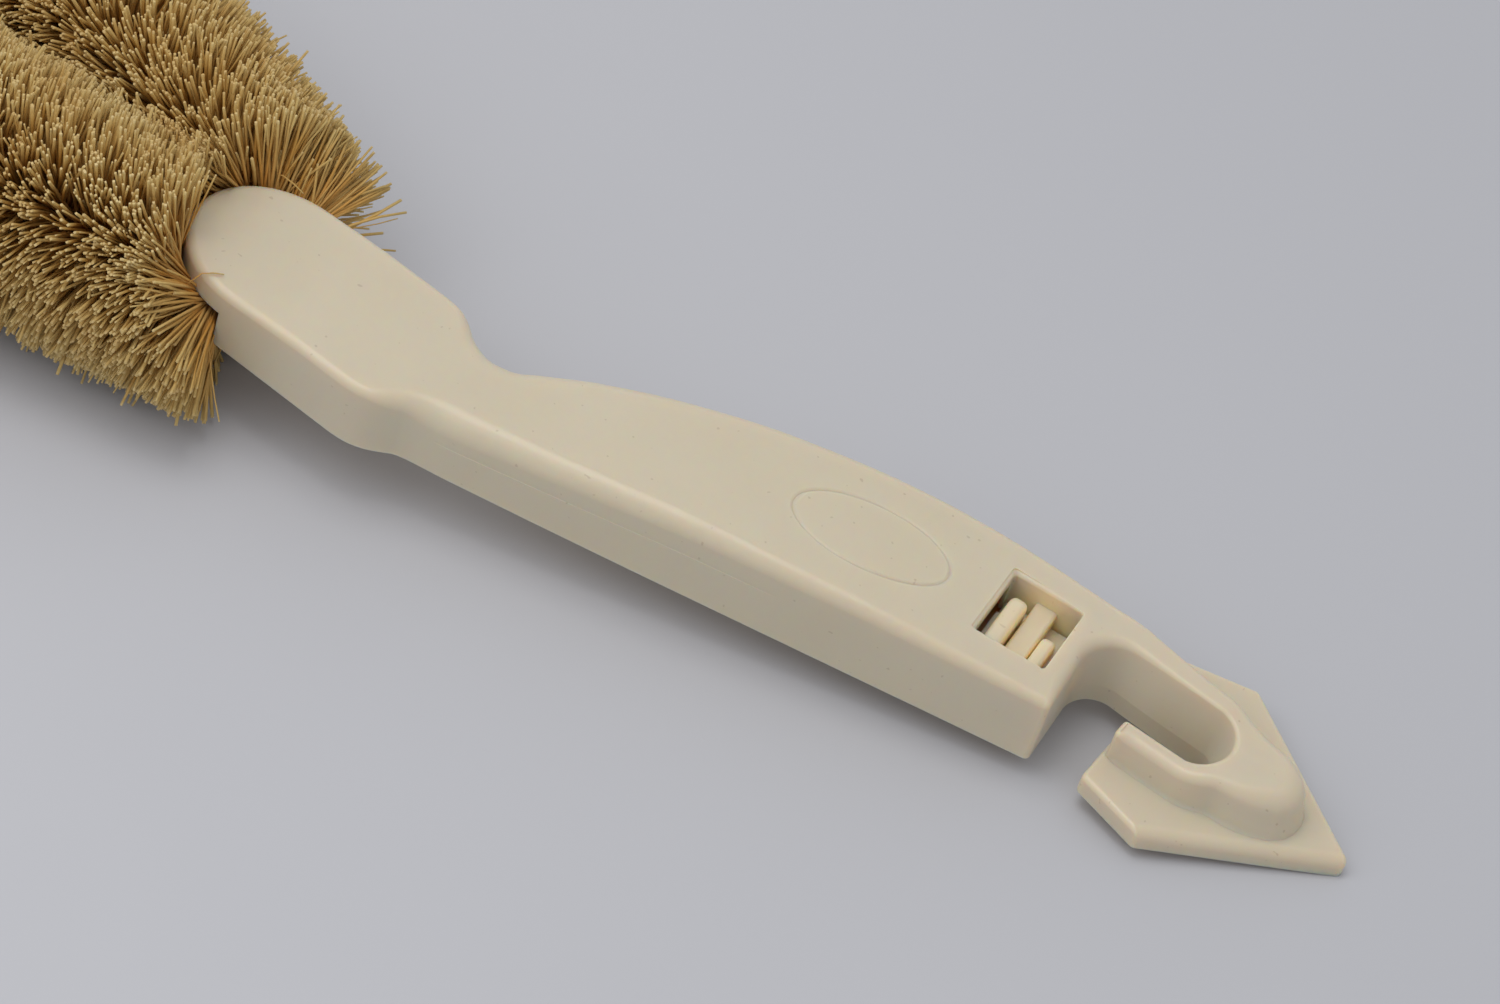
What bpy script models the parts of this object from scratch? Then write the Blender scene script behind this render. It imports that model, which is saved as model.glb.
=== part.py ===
"""Palm shoe brush: a moulded handle with a hook and a scraper, and two bristle cylinders on a twisted stem.

Handle frame: the scraper's tip is at x = 0, x falls towards the bristles, y is across, and z = 0 is the
handle's flat underside. The whole frame is tipped as the brush lies on a table, on its bristles and on the
scraper's tip. Stem frame: u runs out of the head box along the bristles, w is across and z is up.
"""

import math
import random

import bmesh
import bpy
from mathutils import Matrix, Vector

# Grip, neck and head box
REAR_FACE_REACH = 0.0380
GRIP_LENGTH = 0.0837
GRIP_WIDTH = 0.0221
GRIP_HEIGHT = 0.0115
HEAD_BOX_LENGTH = 0.0213
HEAD_BOX_WIDTH = 0.0201
HEAD_BOX_HEIGHT = 0.0095
HEAD_SIDE_SHIFT = 0.0197
HEAD_TURN = math.radians(3.6)
HOOD_LENGTH = 0.0112
HOOD_LIP_HEIGHT = 0.0037
WALL = 0.0015
TOP_WALL = 0.0019
CRISP_FILLET = 0.0011
BROAD_FILLET = 0.0032

# Hook
SLOT_WIDTH = 0.0072
SLOT_END_REACH = 0.0178
SLOT_SIDE_SHIFT = -0.0001
MOUTH_WIDTH = 0.0082
THROAT_RADIUS = 0.0048
HOOK_HEIGHT = 0.0098
HOOK_NOSE_WIDTH = 0.0110
HOOK_SIDE_WIDTH = 0.0056
HOOK_FILLET = 0.0030
HOOK_DRAFT = 0.0010
HOOK_UNDERSIDE_RISE = 0.0003

# Scraper plate
SCRAPER_NOSE_LENGTH = 0.0208
SCRAPER_LENGTH = 0.0303
SCRAPER_WIDTH = 0.0286
SCRAPER_BACK_WIDTH = 0.0236
SCRAPER_SIDE_SHIFT = 0.0011
SCRAPER_THICKNESS = 0.0028
SCRAPER_BEVEL = 0.0007
SCRAPER_CORNER_RADIUS = 0.0008

# Latch window, with the bar of the body that the cover's two fingers hold
WINDOW_LENGTH = 0.0093
WINDOW_WIDTH = 0.0104
WINDOW_TURN = math.radians(4.5)
WINDOW_SHAFT_WALL = 0.0012
WINDOW_SHAFT_DEPTH = 0.0065
LATCH_BAR_WIDTH = 0.0029
LATCH_BAR_HEIGHT = 0.0022
LATCH_BAR_SHIFT = 0.0004
LATCH_BAR_DEPTH = 0.0026
LATCH_FINGER_THICKNESS = 0.0019
LATCH_FINGER_WIDTH = 0.0085
LATCH_FINGER_DEPTH = 0.0007
SHORT_FINGER_THICKNESS = 0.0014
SHORT_FINGER_WIDTH = 0.0058
SHORT_FINGER_DEPTH = 0.0015
LATCH_BARB = 0.0006

# Oval ring on the grip
OVAL_LENGTH = 0.0202
OVAL_WIDTH = 0.0099
OVAL_TURN = math.radians(9.7)
OVAL_GROOVE_WIDTH = 0.0005
OVAL_GROOVE_DEPTH = 0.0003

# Base cover, and the ribs that hold the stem between it and the head box
COVER_THICKNESS = 0.0012
COVER_RIB_THICKNESS = 0.0015
COVER_RIB_WIDTH = 0.0060
COVER_RIB_HEIGHT = 0.0062
CLAMP_RIB_THICKNESS = 0.0014
CLAMP_RIB_PITCH = 0.0100

# Twisted stem
STRAND_DIAMETER = 0.0010
STRAND_GAP = 0.0004
TWIST_PITCH = 0.0098
STEM_HEIGHT = 0.0029
STEM_INSIDE_LENGTH = 0.0165
LOOP_SPACING = 0.0280
LOOP_SPREAD_LENGTH = 0.0450

# Bristles
BRISTLED_LENGTH = 0.1050
BRISTLE_RADIUS = 0.0166
BRISTLE_ROOT_RADIUS = 0.0145
BRISTLE_TAPER_LENGTH = 0.0420
BRISTLE_PRESS = 0.0006
BRISTLE_START = 0.0012
BRISTLE_TIP_WIDTH = 0.0011
BRISTLE_ROW_THICKNESS = 0.0014
LEAST_BRISTLE = 0.0035
LENGTH_SCATTER = 0.0014
SLEEVE_CLEARANCE = 0.0004
SLEEVE_WALL = 0.0006
ROW_TWIST = math.radians(14)
HOOD_SHADOW = math.radians(30)

# Fits and modelling allowances
PIECE_GAP = 0.0003
OVERLAP = 0.0004
CUT_OVERRUN = 0.0020
SMOOTH_ANGLE = math.radians(35)

# Counts
SLICES = 12
ROWS_PER_SLICE = 4
STRANDS_PER_ROW = 9
SEED = 7
FILLET_STEPS = 4
OVAL_SEGMENTS = 28
ARC_SEGMENTS = 10
THROAT_SEGMENTS = 4
CORNER_SEGMENTS = 4
TWIST_POINTS = 6
STRAND_SIDES = 5
ROUTE_POINTS_PER_TURN = 8

# Shares of GRIP_LENGTH along the grip, from the head box to the rear face, each with a share of GRIP_WIDTH
LEFT_SHARES = (
    (0.000, -1.353), (0.018, -1.285), (0.034, -1.235), (0.055, -1.203), (0.120, -1.162), (1.000, -0.516),
)
RIGHT_SHARES = (
    (0.000, -0.439), (0.014, -0.469), (0.032, -0.531), (0.052, -0.572), (0.080, -0.596), (0.108, -0.581),
    (0.145, -0.492), (0.215, -0.326), (0.334, -0.117), (0.486, 0.074), (0.664, 0.237), (0.870, 0.326),
    (1.000, 0.340),
)
# Shares of GRIP_LENGTH along the grip, each with a share of GRIP_HEIGHT
HEIGHT_SHARES = (
    (0.000, 0.831), (0.100, 0.838), (0.210, 0.878), (0.320, 0.930), (0.500, 1.000), (0.700, 1.000),
    (0.860, 0.956), (1.000, 0.913),
)
STATION_SHARES = (
    0.018, 0.034, 0.055, 0.080, 0.108, 0.145, 0.180, 0.215, 0.270, 0.330, 0.400, 0.480, 0.570, 0.660, 0.745,
    0.830, 0.920, 1.000,
)
BROAD_START_SHARE = 0.08
WINDOW_PLACE_SHARE = 0.909
OVAL_PLACE_SHARE = 0.667
COVER_RIB_SHARES = (0.35, 0.60)
# Shares of HOOD_LENGTH, outermost first
HOOD_STATION_SHARES = (0.985, 0.930, 0.820, 0.660, 0.460, 0.220)
FRONT_HEIGHT_SHARE = 0.94
# Shares of the half turn round the slot's end, each with a share of HOOK_NOSE_WIDTH, then of HOOK_HEIGHT
HOOK_WIDTH_SHARES = (
    (0.000, 0.390), (0.130, 0.385), (0.250, 0.480), (0.331, 0.740), (0.389, 0.905), (0.453, 1.000),
    (0.500, 0.985), (0.570, 0.855), (0.633, 0.620), (0.770, 0.280), (1.000, 0.240),
)
HOOK_HEIGHT_SHARES = ((0.000, 1.000), (0.500, 0.900), (1.000, 0.735))
HOOK_FILLET_SHARE = 0.55
INNER_BEND_SHARE = 0.45
FINGER_CHAMFER_SHARE = 0.33

CREAM = (0.64, 0.572, 0.432, 1.0)
PALE_CREAM = (0.68, 0.605, 0.455, 1.0)
GALVANISED = (0.47, 0.47, 0.45, 1.0)
STRAW = (0.62, 0.44, 0.19, 1.0)
UP = Vector((0, 0, 1))


def clear_scene():
    for item in list(bpy.data.objects):
        bpy.data.objects.remove(item, do_unlink=True)


def make_material(name, colour, roughness, metallic=0.0):
    material = bpy.data.materials.new(name)
    material.use_nodes = True
    shader = material.node_tree.nodes["Principled BSDF"]
    shader.inputs["Base Color"].default_value = colour
    shader.inputs["Roughness"].default_value = roughness
    shader.inputs["Metallic"].default_value = metallic
    return material


def add_empty(name, parent=None, matrix=None):
    empty = bpy.data.objects.new(name, None)
    bpy.context.scene.collection.objects.link(empty)
    empty.parent = parent
    if matrix is not None:
        empty.matrix_local = matrix
    return empty


def add_solid(name, shape):
    """An object at the origin from a bmesh, facing outwards."""
    bmesh.ops.recalc_face_normals(shape, faces=shape.faces)
    mesh = bpy.data.meshes.new(name)
    shape.to_mesh(mesh)
    shape.free()
    item = bpy.data.objects.new(name, mesh)
    bpy.context.scene.collection.objects.link(item)
    return item


def combine(item, shape, operation):
    """Adds a shape to a piece, or cuts it out, while both lie untipped at the origin, where faces line up."""
    tool = add_solid("tool", shape)
    modifier = item.modifiers.new("combine", "BOOLEAN")
    modifier.operation = operation
    modifier.solver = "EXACT"
    modifier.object = tool
    graph = bpy.context.evaluated_depsgraph_get()
    result = bpy.data.meshes.new_from_object(item.evaluated_get(graph))
    item.modifiers.remove(modifier)
    item.data = result
    bpy.data.objects.remove(tool, do_unlink=True)


def finish(item, parent, material):
    """Gives a piece its material and its place, smooth where its faces meet at a low angle."""
    item.data.materials.clear()
    item.data.materials.append(material)
    item.data.shade_smooth()
    item.data.set_sharp_from_angle(angle=SMOOTH_ANGLE)
    item.parent = parent


def curve_through(points, along):
    """The height at one place of a smooth curve through points in order, which never overshoots them."""
    if along <= points[0][0]:
        return points[0][1]
    if along >= points[-1][0]:
        return points[-1][1]
    rises = [(b[1] - a[1]) / (b[0] - a[0]) for a, b in zip(points, points[1:])]
    slopes = [rises[0]]
    for before, after in zip(rises, rises[1:]):
        slopes.append(0.0 if before * after <= 0 else 2 * before * after / (before + after))
    slopes.append(rises[-1])
    span = next(i for i in range(len(rises)) if along <= points[i + 1][0])
    (x0, y0), (x1, y1) = points[span], points[span + 1]
    width = x1 - x0
    t = (along - x0) / width
    return (
        y0 * (1 + 2 * t) * (1 - t) ** 2
        + slopes[span] * width * t * (1 - t) ** 2
        + y1 * t * t * (3 - 2 * t)
        - slopes[span + 1] * width * t * t * (1 - t)
    )


def join_rings(shape, rings, closed=False):
    """Skins rings of vertices, one after another. The ends are capped, or joined where the rings go round."""
    count = len(rings[0])
    pairs = list(zip(rings, rings[1:]))
    if closed:
        pairs.append((rings[-1], rings[0]))
    for first, second in pairs:
        for i in range(count):
            j = (i + 1) % count
            shape.faces.new((first[i], first[j], second[j], second[i]))
    if not closed:
        shape.faces.new(rings[0])
        shape.faces.new(rings[-1])


def loft(sections):
    shape = bmesh.new()
    join_rings(shape, [[shape.verts.new(point) for point in section] for section in sections])
    return shape


def prism(outline, low, high):
    """An upright solid with one plan outline."""
    return loft([[point + UP * low for point in outline], [point + UP * high for point in outline]])


def box(x0, x1, y0, y1, z0, z1):
    corners = [Vector((x0, y0, 0)), Vector((x1, y0, 0)), Vector((x1, y1, 0)), Vector((x0, y1, 0))]
    return prism(corners, z0, z1)


def moved(shape, matrix):
    bmesh.ops.transform(shape, matrix=matrix, verts=shape.verts)
    return shape


def arc(centre, radius, start, end, segments):
    """Points round a centre, by an angle that starts at +y and turns towards +x."""
    points = []
    for step in range(segments + 1):
        angle = start + (end - start) * step / segments
        points.append(centre + Vector((math.sin(angle), math.cos(angle), 0)) * radius)
    return points


# Places

def grip_place(share):
    return -REAR_FACE_REACH - GRIP_LENGTH * (1 - share)


def grip_left(share):
    return curve_through(LEFT_SHARES, share) * GRIP_WIDTH


def grip_right(share):
    return curve_through(RIGHT_SHARES, share) * GRIP_WIDTH


def grip_top(share):
    return curve_through(HEIGHT_SHARES, share) * GRIP_HEIGHT


def on_grip(share, turn):
    """A frame in the handle's underside plane, at one place along the middle of the grip."""
    middle = (grip_left(share) + grip_right(share)) / 2
    place = Matrix.Translation((grip_place(share), middle, 0))
    return place @ Matrix.Rotation(turn, 4, "Z")


def head_matrix():
    """The stem frame, seen from the handle frame: its origin is the middle of the head box's front face."""
    out = Vector((-math.cos(HEAD_TURN), math.sin(HEAD_TURN), 0))
    across = Vector((-math.sin(HEAD_TURN), -math.cos(HEAD_TURN), 0))
    matrix = Matrix((out, across, UP)).transposed().to_4x4()
    matrix.translation = Vector((grip_place(0), -HEAD_SIDE_SHIFT, 0)) + out * HEAD_BOX_LENGTH
    return matrix


def head_point(u, w):
    return head_matrix() @ Vector((u, w, 0))


def front_top():
    return HEAD_BOX_HEIGHT * FRONT_HEIGHT_SHARE


# Handle body

def section_points(left, right, bottom, top, left_fillet, right_fillet, draft=0.0):
    """One cross-section between two plan points: up the left wall, over the top, down the right wall."""
    across = right - left
    width = across.length
    across.normalize()
    points = [left + UP * bottom]
    for step in range(FILLET_STEPS + 1):
        angle = math.pi / 2 * step / FILLET_STEPS
        inward = left_fillet * (1 - math.cos(angle))
        points.append(left + across * inward + UP * (top - left_fillet * (1 - math.sin(angle))))
    points.append(left + across * ((left_fillet + width - right_fillet - draft) / 2) + UP * top)
    for step in range(FILLET_STEPS, -1, -1):
        angle = math.pi / 2 * step / FILLET_STEPS
        inward = draft + right_fillet * (1 - math.cos(angle))
        points.append(right - across * inward + UP * (top - right_fillet * (1 - math.sin(angle))))
    points.append(right + UP * bottom)
    return points


def head_stations(front):
    """(left, right, top, fillet) of the cross-sections of the head box, from one place near its front."""
    half = HEAD_BOX_WIDTH / 2
    middle = (front - HEAD_BOX_LENGTH) / 2
    return [
        (head_point(front, half), head_point(front, -half), front_top(), CRISP_FILLET),
        (head_point(middle, half), head_point(middle, -half), HEAD_BOX_HEIGHT, CRISP_FILLET),
        (head_point(-HEAD_BOX_LENGTH, half), head_point(-HEAD_BOX_LENGTH, -half), grip_top(0), CRISP_FILLET),
    ]


def grip_stations(rear_inset):
    """(left, right, top, fillet) of the cross-sections from the neck to the rear face."""
    stations = []
    for share in STATION_SHARES:
        x = grip_place(share)
        if share == STATION_SHARES[-1]:
            x -= rear_inset
        broad = (1 - share) * min(1.0, share / BROAD_START_SHARE)
        fillet = CRISP_FILLET + (BROAD_FILLET - CRISP_FILLET) * broad
        left = Vector((x, grip_left(share), 0))
        right = Vector((x, grip_right(share), 0))
        stations.append((left, right, grip_top(share), fillet))
    return stations


def hood_stations():
    stations = []
    for share in HOOD_STATION_SHARES:
        half = HEAD_BOX_WIDTH / 2 * math.sqrt(1 - share * share)
        out = HOOD_LENGTH * share
        stations.append((head_point(out, half), head_point(out, -half), front_top(), CRISP_FILLET))
    return stations


def inner_stations(inset):
    """The same cross-sections drawn in by a wall or a fit on both sides and at both ends."""
    stations = []
    for left, right, top, fillet in head_stations(-inset) + grip_stations(inset):
        across = (right - left).normalized()
        stations.append((left + across * inset, right - across * inset, top, fillet))
    return stations


def body_shell():
    sections = []
    for left, right, top, fillet in hood_stations() + head_stations(0) + grip_stations(0):
        sections.append(section_points(left, right, 0, top, fillet, fillet))
    return loft(sections)


def body_cavity():
    sections = []
    for left, right, top, fillet in inner_stations(WALL):
        inner = max(fillet - WALL, CRISP_FILLET / 2)
        sections.append(section_points(left, right, -CUT_OVERRUN, top - TOP_WALL, inner, inner))
    return loft(sections)


def below_hood():
    """All that is in front of the head box and lower than the hood's lip."""
    reach = HEAD_BOX_WIDTH
    shape = box(PIECE_GAP, HOOD_LENGTH + CUT_OVERRUN, -reach, reach, -CUT_OVERRUN,
                front_top() - HOOD_LIP_HEIGHT)
    return moved(shape, head_matrix())


def hood_hollow():
    """Hollows the hood from below, and opens the head box's front face between its side walls."""
    half = HEAD_BOX_WIDTH / 2 - WALL - PIECE_GAP
    stretch = (HOOD_LENGTH - WALL) / half
    outline = [Vector((-WALL - OVERLAP, half, 0))]
    for point in arc(Vector((0, 0, 0)), half, 0, math.pi, ARC_SEGMENTS):
        outline.append(Vector((point.x * stretch, point.y, 0)))
    outline.append(Vector((-WALL - OVERLAP, -half, 0)))
    return moved(prism(outline, -CUT_OVERRUN, front_top() - TOP_WALL - PIECE_GAP), head_matrix())


def clamp_rib(index):
    """A rib across the head box that presses the stem down on the cover."""
    middle = -HEAD_BOX_LENGTH / 2 + (index - 1 / 2) * CLAMP_RIB_PITCH
    half = HEAD_BOX_WIDTH / 2 - WALL + OVERLAP
    shape = box(middle - CLAMP_RIB_THICKNESS / 2, middle + CLAMP_RIB_THICKNESS / 2, -half, half,
                STEM_HEIGHT + stem_radius() + PIECE_GAP, front_top() - TOP_WALL + OVERLAP)
    return moved(shape, head_matrix())


def slot_middle():
    return Vector((-SLOT_END_REACH - SLOT_WIDTH / 2, SLOT_SIDE_SHIFT, 0))


def throat_pairs():
    """(inner edge, outer edge, height) of the hook where it leaves the grip's rear face."""
    rear = -REAR_FACE_REACH
    slot_right = SLOT_SIDE_SHIFT + SLOT_WIDTH / 2
    centre = Vector((rear + THROAT_RADIUS, slot_right - THROAT_RADIUS, 0))
    inner = arc(centre, THROAT_RADIUS, -math.pi / 2, 0, THROAT_SEGMENTS)
    start = grip_right(1) - OVERLAP
    end = slot_right + HOOK_SIDE_WIDTH
    start_height = grip_top(1) - OVERLAP
    pairs = [(inner[0] - Vector((WALL / 2, 0, 0)), Vector((rear - WALL / 2, start, 0)), start_height)]
    for step, point in enumerate(inner):
        share = step / THROAT_SEGMENTS
        outer = Vector((rear + (centre.x - rear) * share, start + (end - start) * share, 0))
        pairs.append((point, outer, start_height + (HOOK_HEIGHT - start_height) * share / 2))
    return pairs


def hook_pairs():
    """(inner edge, outer edge, height) along the hook, from inside the grip's rear wall to the arm's end."""
    middle = slot_middle()
    radius = SLOT_WIDTH / 2
    pairs = throat_pairs()
    inner, outer, height = pairs[-1]
    first_width = curve_through(HOOK_WIDTH_SHARES, 0) * HOOK_NOSE_WIDTH
    turn_start = middle + Vector((0, radius + first_width, 0))
    halfway = Vector(((inner.x + middle.x) / 2, inner.y, 0))
    pairs.append((halfway, (outer + turn_start) / 2, (height + HOOK_HEIGHT) / 2))
    for step in range(ARC_SEGMENTS + 1):
        share = step / ARC_SEGMENTS
        width = curve_through(HOOK_WIDTH_SHARES, share) * HOOK_NOSE_WIDTH
        height = curve_through(HOOK_HEIGHT_SHARES, share) * HOOK_HEIGHT
        out = Vector((math.sin(math.pi * share), math.cos(math.pi * share), 0))
        pairs.append((middle + out * radius, middle + out * (radius + width), height))
    inner, outer, height = pairs[-1]
    arm = Vector((MOUTH_WIDTH - REAR_FACE_REACH - middle.x, 0, 0))
    pairs.append((inner + arm, outer + arm, height))
    return pairs


def hook_ridge():
    sections = []
    for inner, outer, height in hook_pairs():
        width = (outer - inner).length
        draft = min(HOOK_DRAFT, width * HOOK_FILLET_SHARE / 2)
        outer_fillet = min(HOOK_FILLET, (width - draft) * HOOK_FILLET_SHARE)
        inner_fillet = min(CRISP_FILLET, (width - draft) * (1 - HOOK_FILLET_SHARE) / 2)
        sections.append(section_points(inner, outer, HOOK_UNDERSIDE_RISE, height, inner_fillet,
                                       outer_fillet, draft))
    return loft(sections)


def rounded(corners, radius, segments):
    """A plan outline with each corner rounded by an arc."""
    outline = []
    for i, corner in enumerate(corners):
        before = (corners[i - 1] - corner).normalized()
        after = (corners[(i + 1) % len(corners)] - corner).normalized()
        half = before.angle(after) / 2
        centre = corner + (before + after).normalized() * (radius / math.sin(half))
        start = corner + before * (radius / math.tan(half)) - centre
        end = corner + after * (radius / math.tan(half)) - centre
        for step in range(segments + 1):
            outline.append(centre + start.lerp(end, step / segments).normalized() * radius)
    return outline


def scraper_outline():
    """The arrow's outline. Its tip's rounding ends at x = 0 in the handle frame."""
    half = SCRAPER_WIDTH / 2
    back = SCRAPER_BACK_WIDTH / 2
    half_tip = math.atan2(half, SCRAPER_NOSE_LENGTH)
    point = SCRAPER_CORNER_RADIUS * (1 / math.sin(half_tip) - 1)
    middle = SCRAPER_SIDE_SHIFT
    corners = [
        Vector((point, middle, 0)),
        Vector((-SCRAPER_NOSE_LENGTH, middle - half, 0)),
        Vector((-SCRAPER_LENGTH, middle - back, 0)),
        Vector((-SCRAPER_LENGTH, middle + back, 0)),
        Vector((-SCRAPER_NOSE_LENGTH, middle + half, 0)),
    ]
    return rounded(corners, SCRAPER_CORNER_RADIUS, CORNER_SEGMENTS)


def scraper_plate():
    """The arrow-shaped plate, bevelled along its upper edge and cut by the slot."""
    shape = bmesh.new()
    shape.faces.new([shape.verts.new(point) for point in scraper_outline()])
    raised = bmesh.ops.extrude_face_region(shape, geom=shape.faces[:])["geom"]
    top = [part for part in raised if isinstance(part, bmesh.types.BMVert)]
    bmesh.ops.translate(shape, vec=UP * SCRAPER_THICKNESS, verts=top)
    rim = [edge for edge in shape.edges if edge.verts[0] in top and edge.verts[1] in top]
    bmesh.ops.bevel(shape, geom=rim, offset=SCRAPER_BEVEL, segments=2, profile=0.5, affect="EDGES",
                    material=-1)
    plate = add_solid("plate", shape)
    outline = arc(slot_middle(), SLOT_WIDTH / 2 + OVERLAP, 0, math.pi, ARC_SEGMENTS)
    back = Vector((SCRAPER_LENGTH + CUT_OVERRUN, 0, 0))
    outline.append(Vector((0, outline[-1].y, 0)) - back)
    outline.append(Vector((0, outline[0].y, 0)) - back)
    combine(plate, prism(outline, -CUT_OVERRUN, SCRAPER_THICKNESS + CUT_OVERRUN), "DIFFERENCE")
    slotted = bmesh.new()
    slotted.from_mesh(plate.data)
    bpy.data.objects.remove(plate, do_unlink=True)
    return slotted


def window_matrix():
    return on_grip(WINDOW_PLACE_SHARE, WINDOW_TURN)


def window_opening():
    top = grip_top(WINDOW_PLACE_SHARE)
    return moved(box(-WINDOW_LENGTH / 2, WINDOW_LENGTH / 2, -WINDOW_WIDTH / 2, WINDOW_WIDTH / 2,
                     top - WINDOW_SHAFT_DEPTH - CUT_OVERRUN, top + CUT_OVERRUN), window_matrix())


def window_shaft(side):
    """A wall that hangs from the grip's top along one side of the window."""
    top = grip_top(WINDOW_PLACE_SHARE)
    half = WINDOW_LENGTH / 2 + OVERLAP
    ends = sorted((side * (WINDOW_WIDTH / 2 - OVERLAP), side * (WINDOW_WIDTH / 2 + WINDOW_SHAFT_WALL)))
    return moved(box(-half, half, ends[0], ends[1], top - WINDOW_SHAFT_DEPTH, top - TOP_WALL / 2),
                 window_matrix())


def latch_bar():
    top = grip_top(WINDOW_PLACE_SHARE) - LATCH_BAR_DEPTH
    reach = WINDOW_WIDTH / 2 + WINDOW_SHAFT_WALL / 2
    return moved(box(LATCH_BAR_SHIFT - LATCH_BAR_WIDTH / 2, LATCH_BAR_SHIFT + LATCH_BAR_WIDTH / 2,
                     -reach, reach, top - LATCH_BAR_HEIGHT, top), window_matrix())


def oval_groove():
    """An oval ring that follows the grip's top, as a shallow groove."""
    shape = bmesh.new()
    turn = on_grip(OVAL_PLACE_SHARE, OVAL_TURN)
    rings = []
    corners = ((0, -OVAL_GROOVE_DEPTH), (OVAL_GROOVE_WIDTH, -OVAL_GROOVE_DEPTH),
               (OVAL_GROOVE_WIDTH, CUT_OVERRUN), (0, CUT_OVERRUN))
    for inset, rise in corners:
        ring = []
        for step in range(OVAL_SEGMENTS):
            angle = 2 * math.pi * step / OVAL_SEGMENTS
            place = turn @ Vector(((OVAL_LENGTH / 2 - inset) * math.cos(angle),
                                   (OVAL_WIDTH / 2 - inset) * math.sin(angle), 0))
            share = 1 + (place.x + REAR_FACE_REACH) / GRIP_LENGTH
            place.z = grip_top(share) + rise
            ring.append(shape.verts.new(place))
        rings.append(ring)
    join_rings(shape, rings, closed=True)
    return shape


def build_body(frame, material):
    body = add_solid("handle_body", body_shell())
    combine(body, hook_ridge(), "UNION")
    combine(body, scraper_plate(), "UNION")
    combine(body, below_hood(), "DIFFERENCE")
    combine(body, body_cavity(), "DIFFERENCE")
    combine(body, hood_hollow(), "DIFFERENCE")
    for index in (0, 1):
        combine(body, clamp_rib(index), "UNION")
    for side in (-1, 1):
        combine(body, window_shaft(side), "UNION")
    combine(body, window_opening(), "DIFFERENCE")
    combine(body, latch_bar(), "UNION")
    combine(body, oval_groove(), "DIFFERENCE")
    finish(body, frame, material)


# Base cover

def cover_plate():
    """The plate that closes the body's open underside, one gap clear of its walls."""
    sections = []
    for left, right, _, _ in inner_stations(WALL + PIECE_GAP):
        sections.append([left, right, right + UP * COVER_THICKNESS, left + UP * COVER_THICKNESS])
    return loft(sections)


def latch_finger(direction, thickness, width, depth):
    """An upright finger beside the latch bar, with a barb that leans over it."""
    grip_height = grip_top(WINDOW_PLACE_SHARE)
    inner = LATCH_BAR_SHIFT + direction * (LATCH_BAR_WIDTH / 2 + PIECE_GAP)
    outer = inner + direction * thickness
    barb = inner - direction * LATCH_BARB
    low = COVER_THICKNESS - OVERLAP
    top = grip_height - depth
    hold = grip_height - LATCH_BAR_DEPTH + PIECE_GAP
    chamfer = thickness * FINGER_CHAMFER_SHARE
    near = PIECE_GAP - WINDOW_WIDTH / 2
    profile = [(outer, low), (outer, top - chamfer), (outer - direction * chamfer, top), (inner, top),
               (barb, hold + LATCH_BARB), (barb, hold), (inner, hold), (inner, low)]
    sections = [[Vector((x, y, z)) for x, z in profile] for y in (near, near + width)]
    return moved(loft(sections), window_matrix())


def cover_rib(share):
    """A low rib across the cover that stiffens it."""
    x = grip_place(share)
    middle = (grip_left(share) + grip_right(share)) / 2
    return box(x - COVER_RIB_THICKNESS / 2, x + COVER_RIB_THICKNESS / 2, middle - COVER_RIB_WIDTH / 2,
               middle + COVER_RIB_WIDTH / 2, COVER_THICKNESS - OVERLAP, COVER_RIB_HEIGHT)


def build_cover(frame, material):
    cover = add_solid("base_cover", cover_plate())
    combine(cover, latch_finger(-1, LATCH_FINGER_THICKNESS, LATCH_FINGER_WIDTH, LATCH_FINGER_DEPTH), "UNION")
    combine(cover, latch_finger(1, SHORT_FINGER_THICKNESS, SHORT_FINGER_WIDTH, SHORT_FINGER_DEPTH), "UNION")
    for share in COVER_RIB_SHARES:
        combine(cover, cover_rib(share), "UNION")
    finish(cover, frame, material)


# Twisted stem

def stem_radius():
    return STRAND_DIAMETER + STRAND_GAP / 2


def bend_radius():
    return LOOP_SPACING / 2


def bend_start():
    return BRISTLED_LENGTH - BRISTLE_RADIUS - bend_radius()


def stem_side(u):
    """How far the stem is from the middle line at one place along the brush."""
    root = HEAD_BOX_WIDTH / 2 - WALL - PIECE_GAP - stem_radius()
    share = min(max(u / LOOP_SPREAD_LENGTH, 0.0), 1.0)
    return root + (bend_radius() - root) * share * share * (3 - 2 * share)


class Route:
    """The stem's middle line: out on the left, round the bend and back on the right, read by distance."""

    def __init__(self):
        step = TWIST_PITCH / ROUTE_POINTS_PER_TURN
        straight = STEM_INSIDE_LENGTH + bend_start()
        count = round(straight / step)
        leg = []
        for i in range(count):
            u = straight * i / count - STEM_INSIDE_LENGTH
            leg.append(Vector((u, stem_side(u), STEM_HEIGHT)))
        back = [Vector((point.x, -point.y, point.z)) for point in reversed(leg)]
        middle = Vector((bend_start(), 0, STEM_HEIGHT))
        bend = arc(middle, bend_radius(), 0, math.pi, round(math.pi * bend_radius() / step))
        self.points = leg + bend + back
        self.distances = [0.0]
        for before, after in zip(self.points, self.points[1:]):
            self.distances.append(self.distances[-1] + (after - before).length)
        self.length = self.distances[-1]

    def frame(self, distance):
        """(point, direction, level side) at one distance along the stem."""
        last = len(self.points) - 1
        high = next((i for i in range(1, last) if self.distances[i] > distance), last)
        low = high - 1
        share = (distance - self.distances[low]) / (self.distances[high] - self.distances[low])
        point = self.points[low].lerp(self.points[high], share)
        along = (self.points[min(high + 1, last)] - self.points[max(low - 1, 0)]).normalized()
        return point, along, UP.cross(along)


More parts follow.
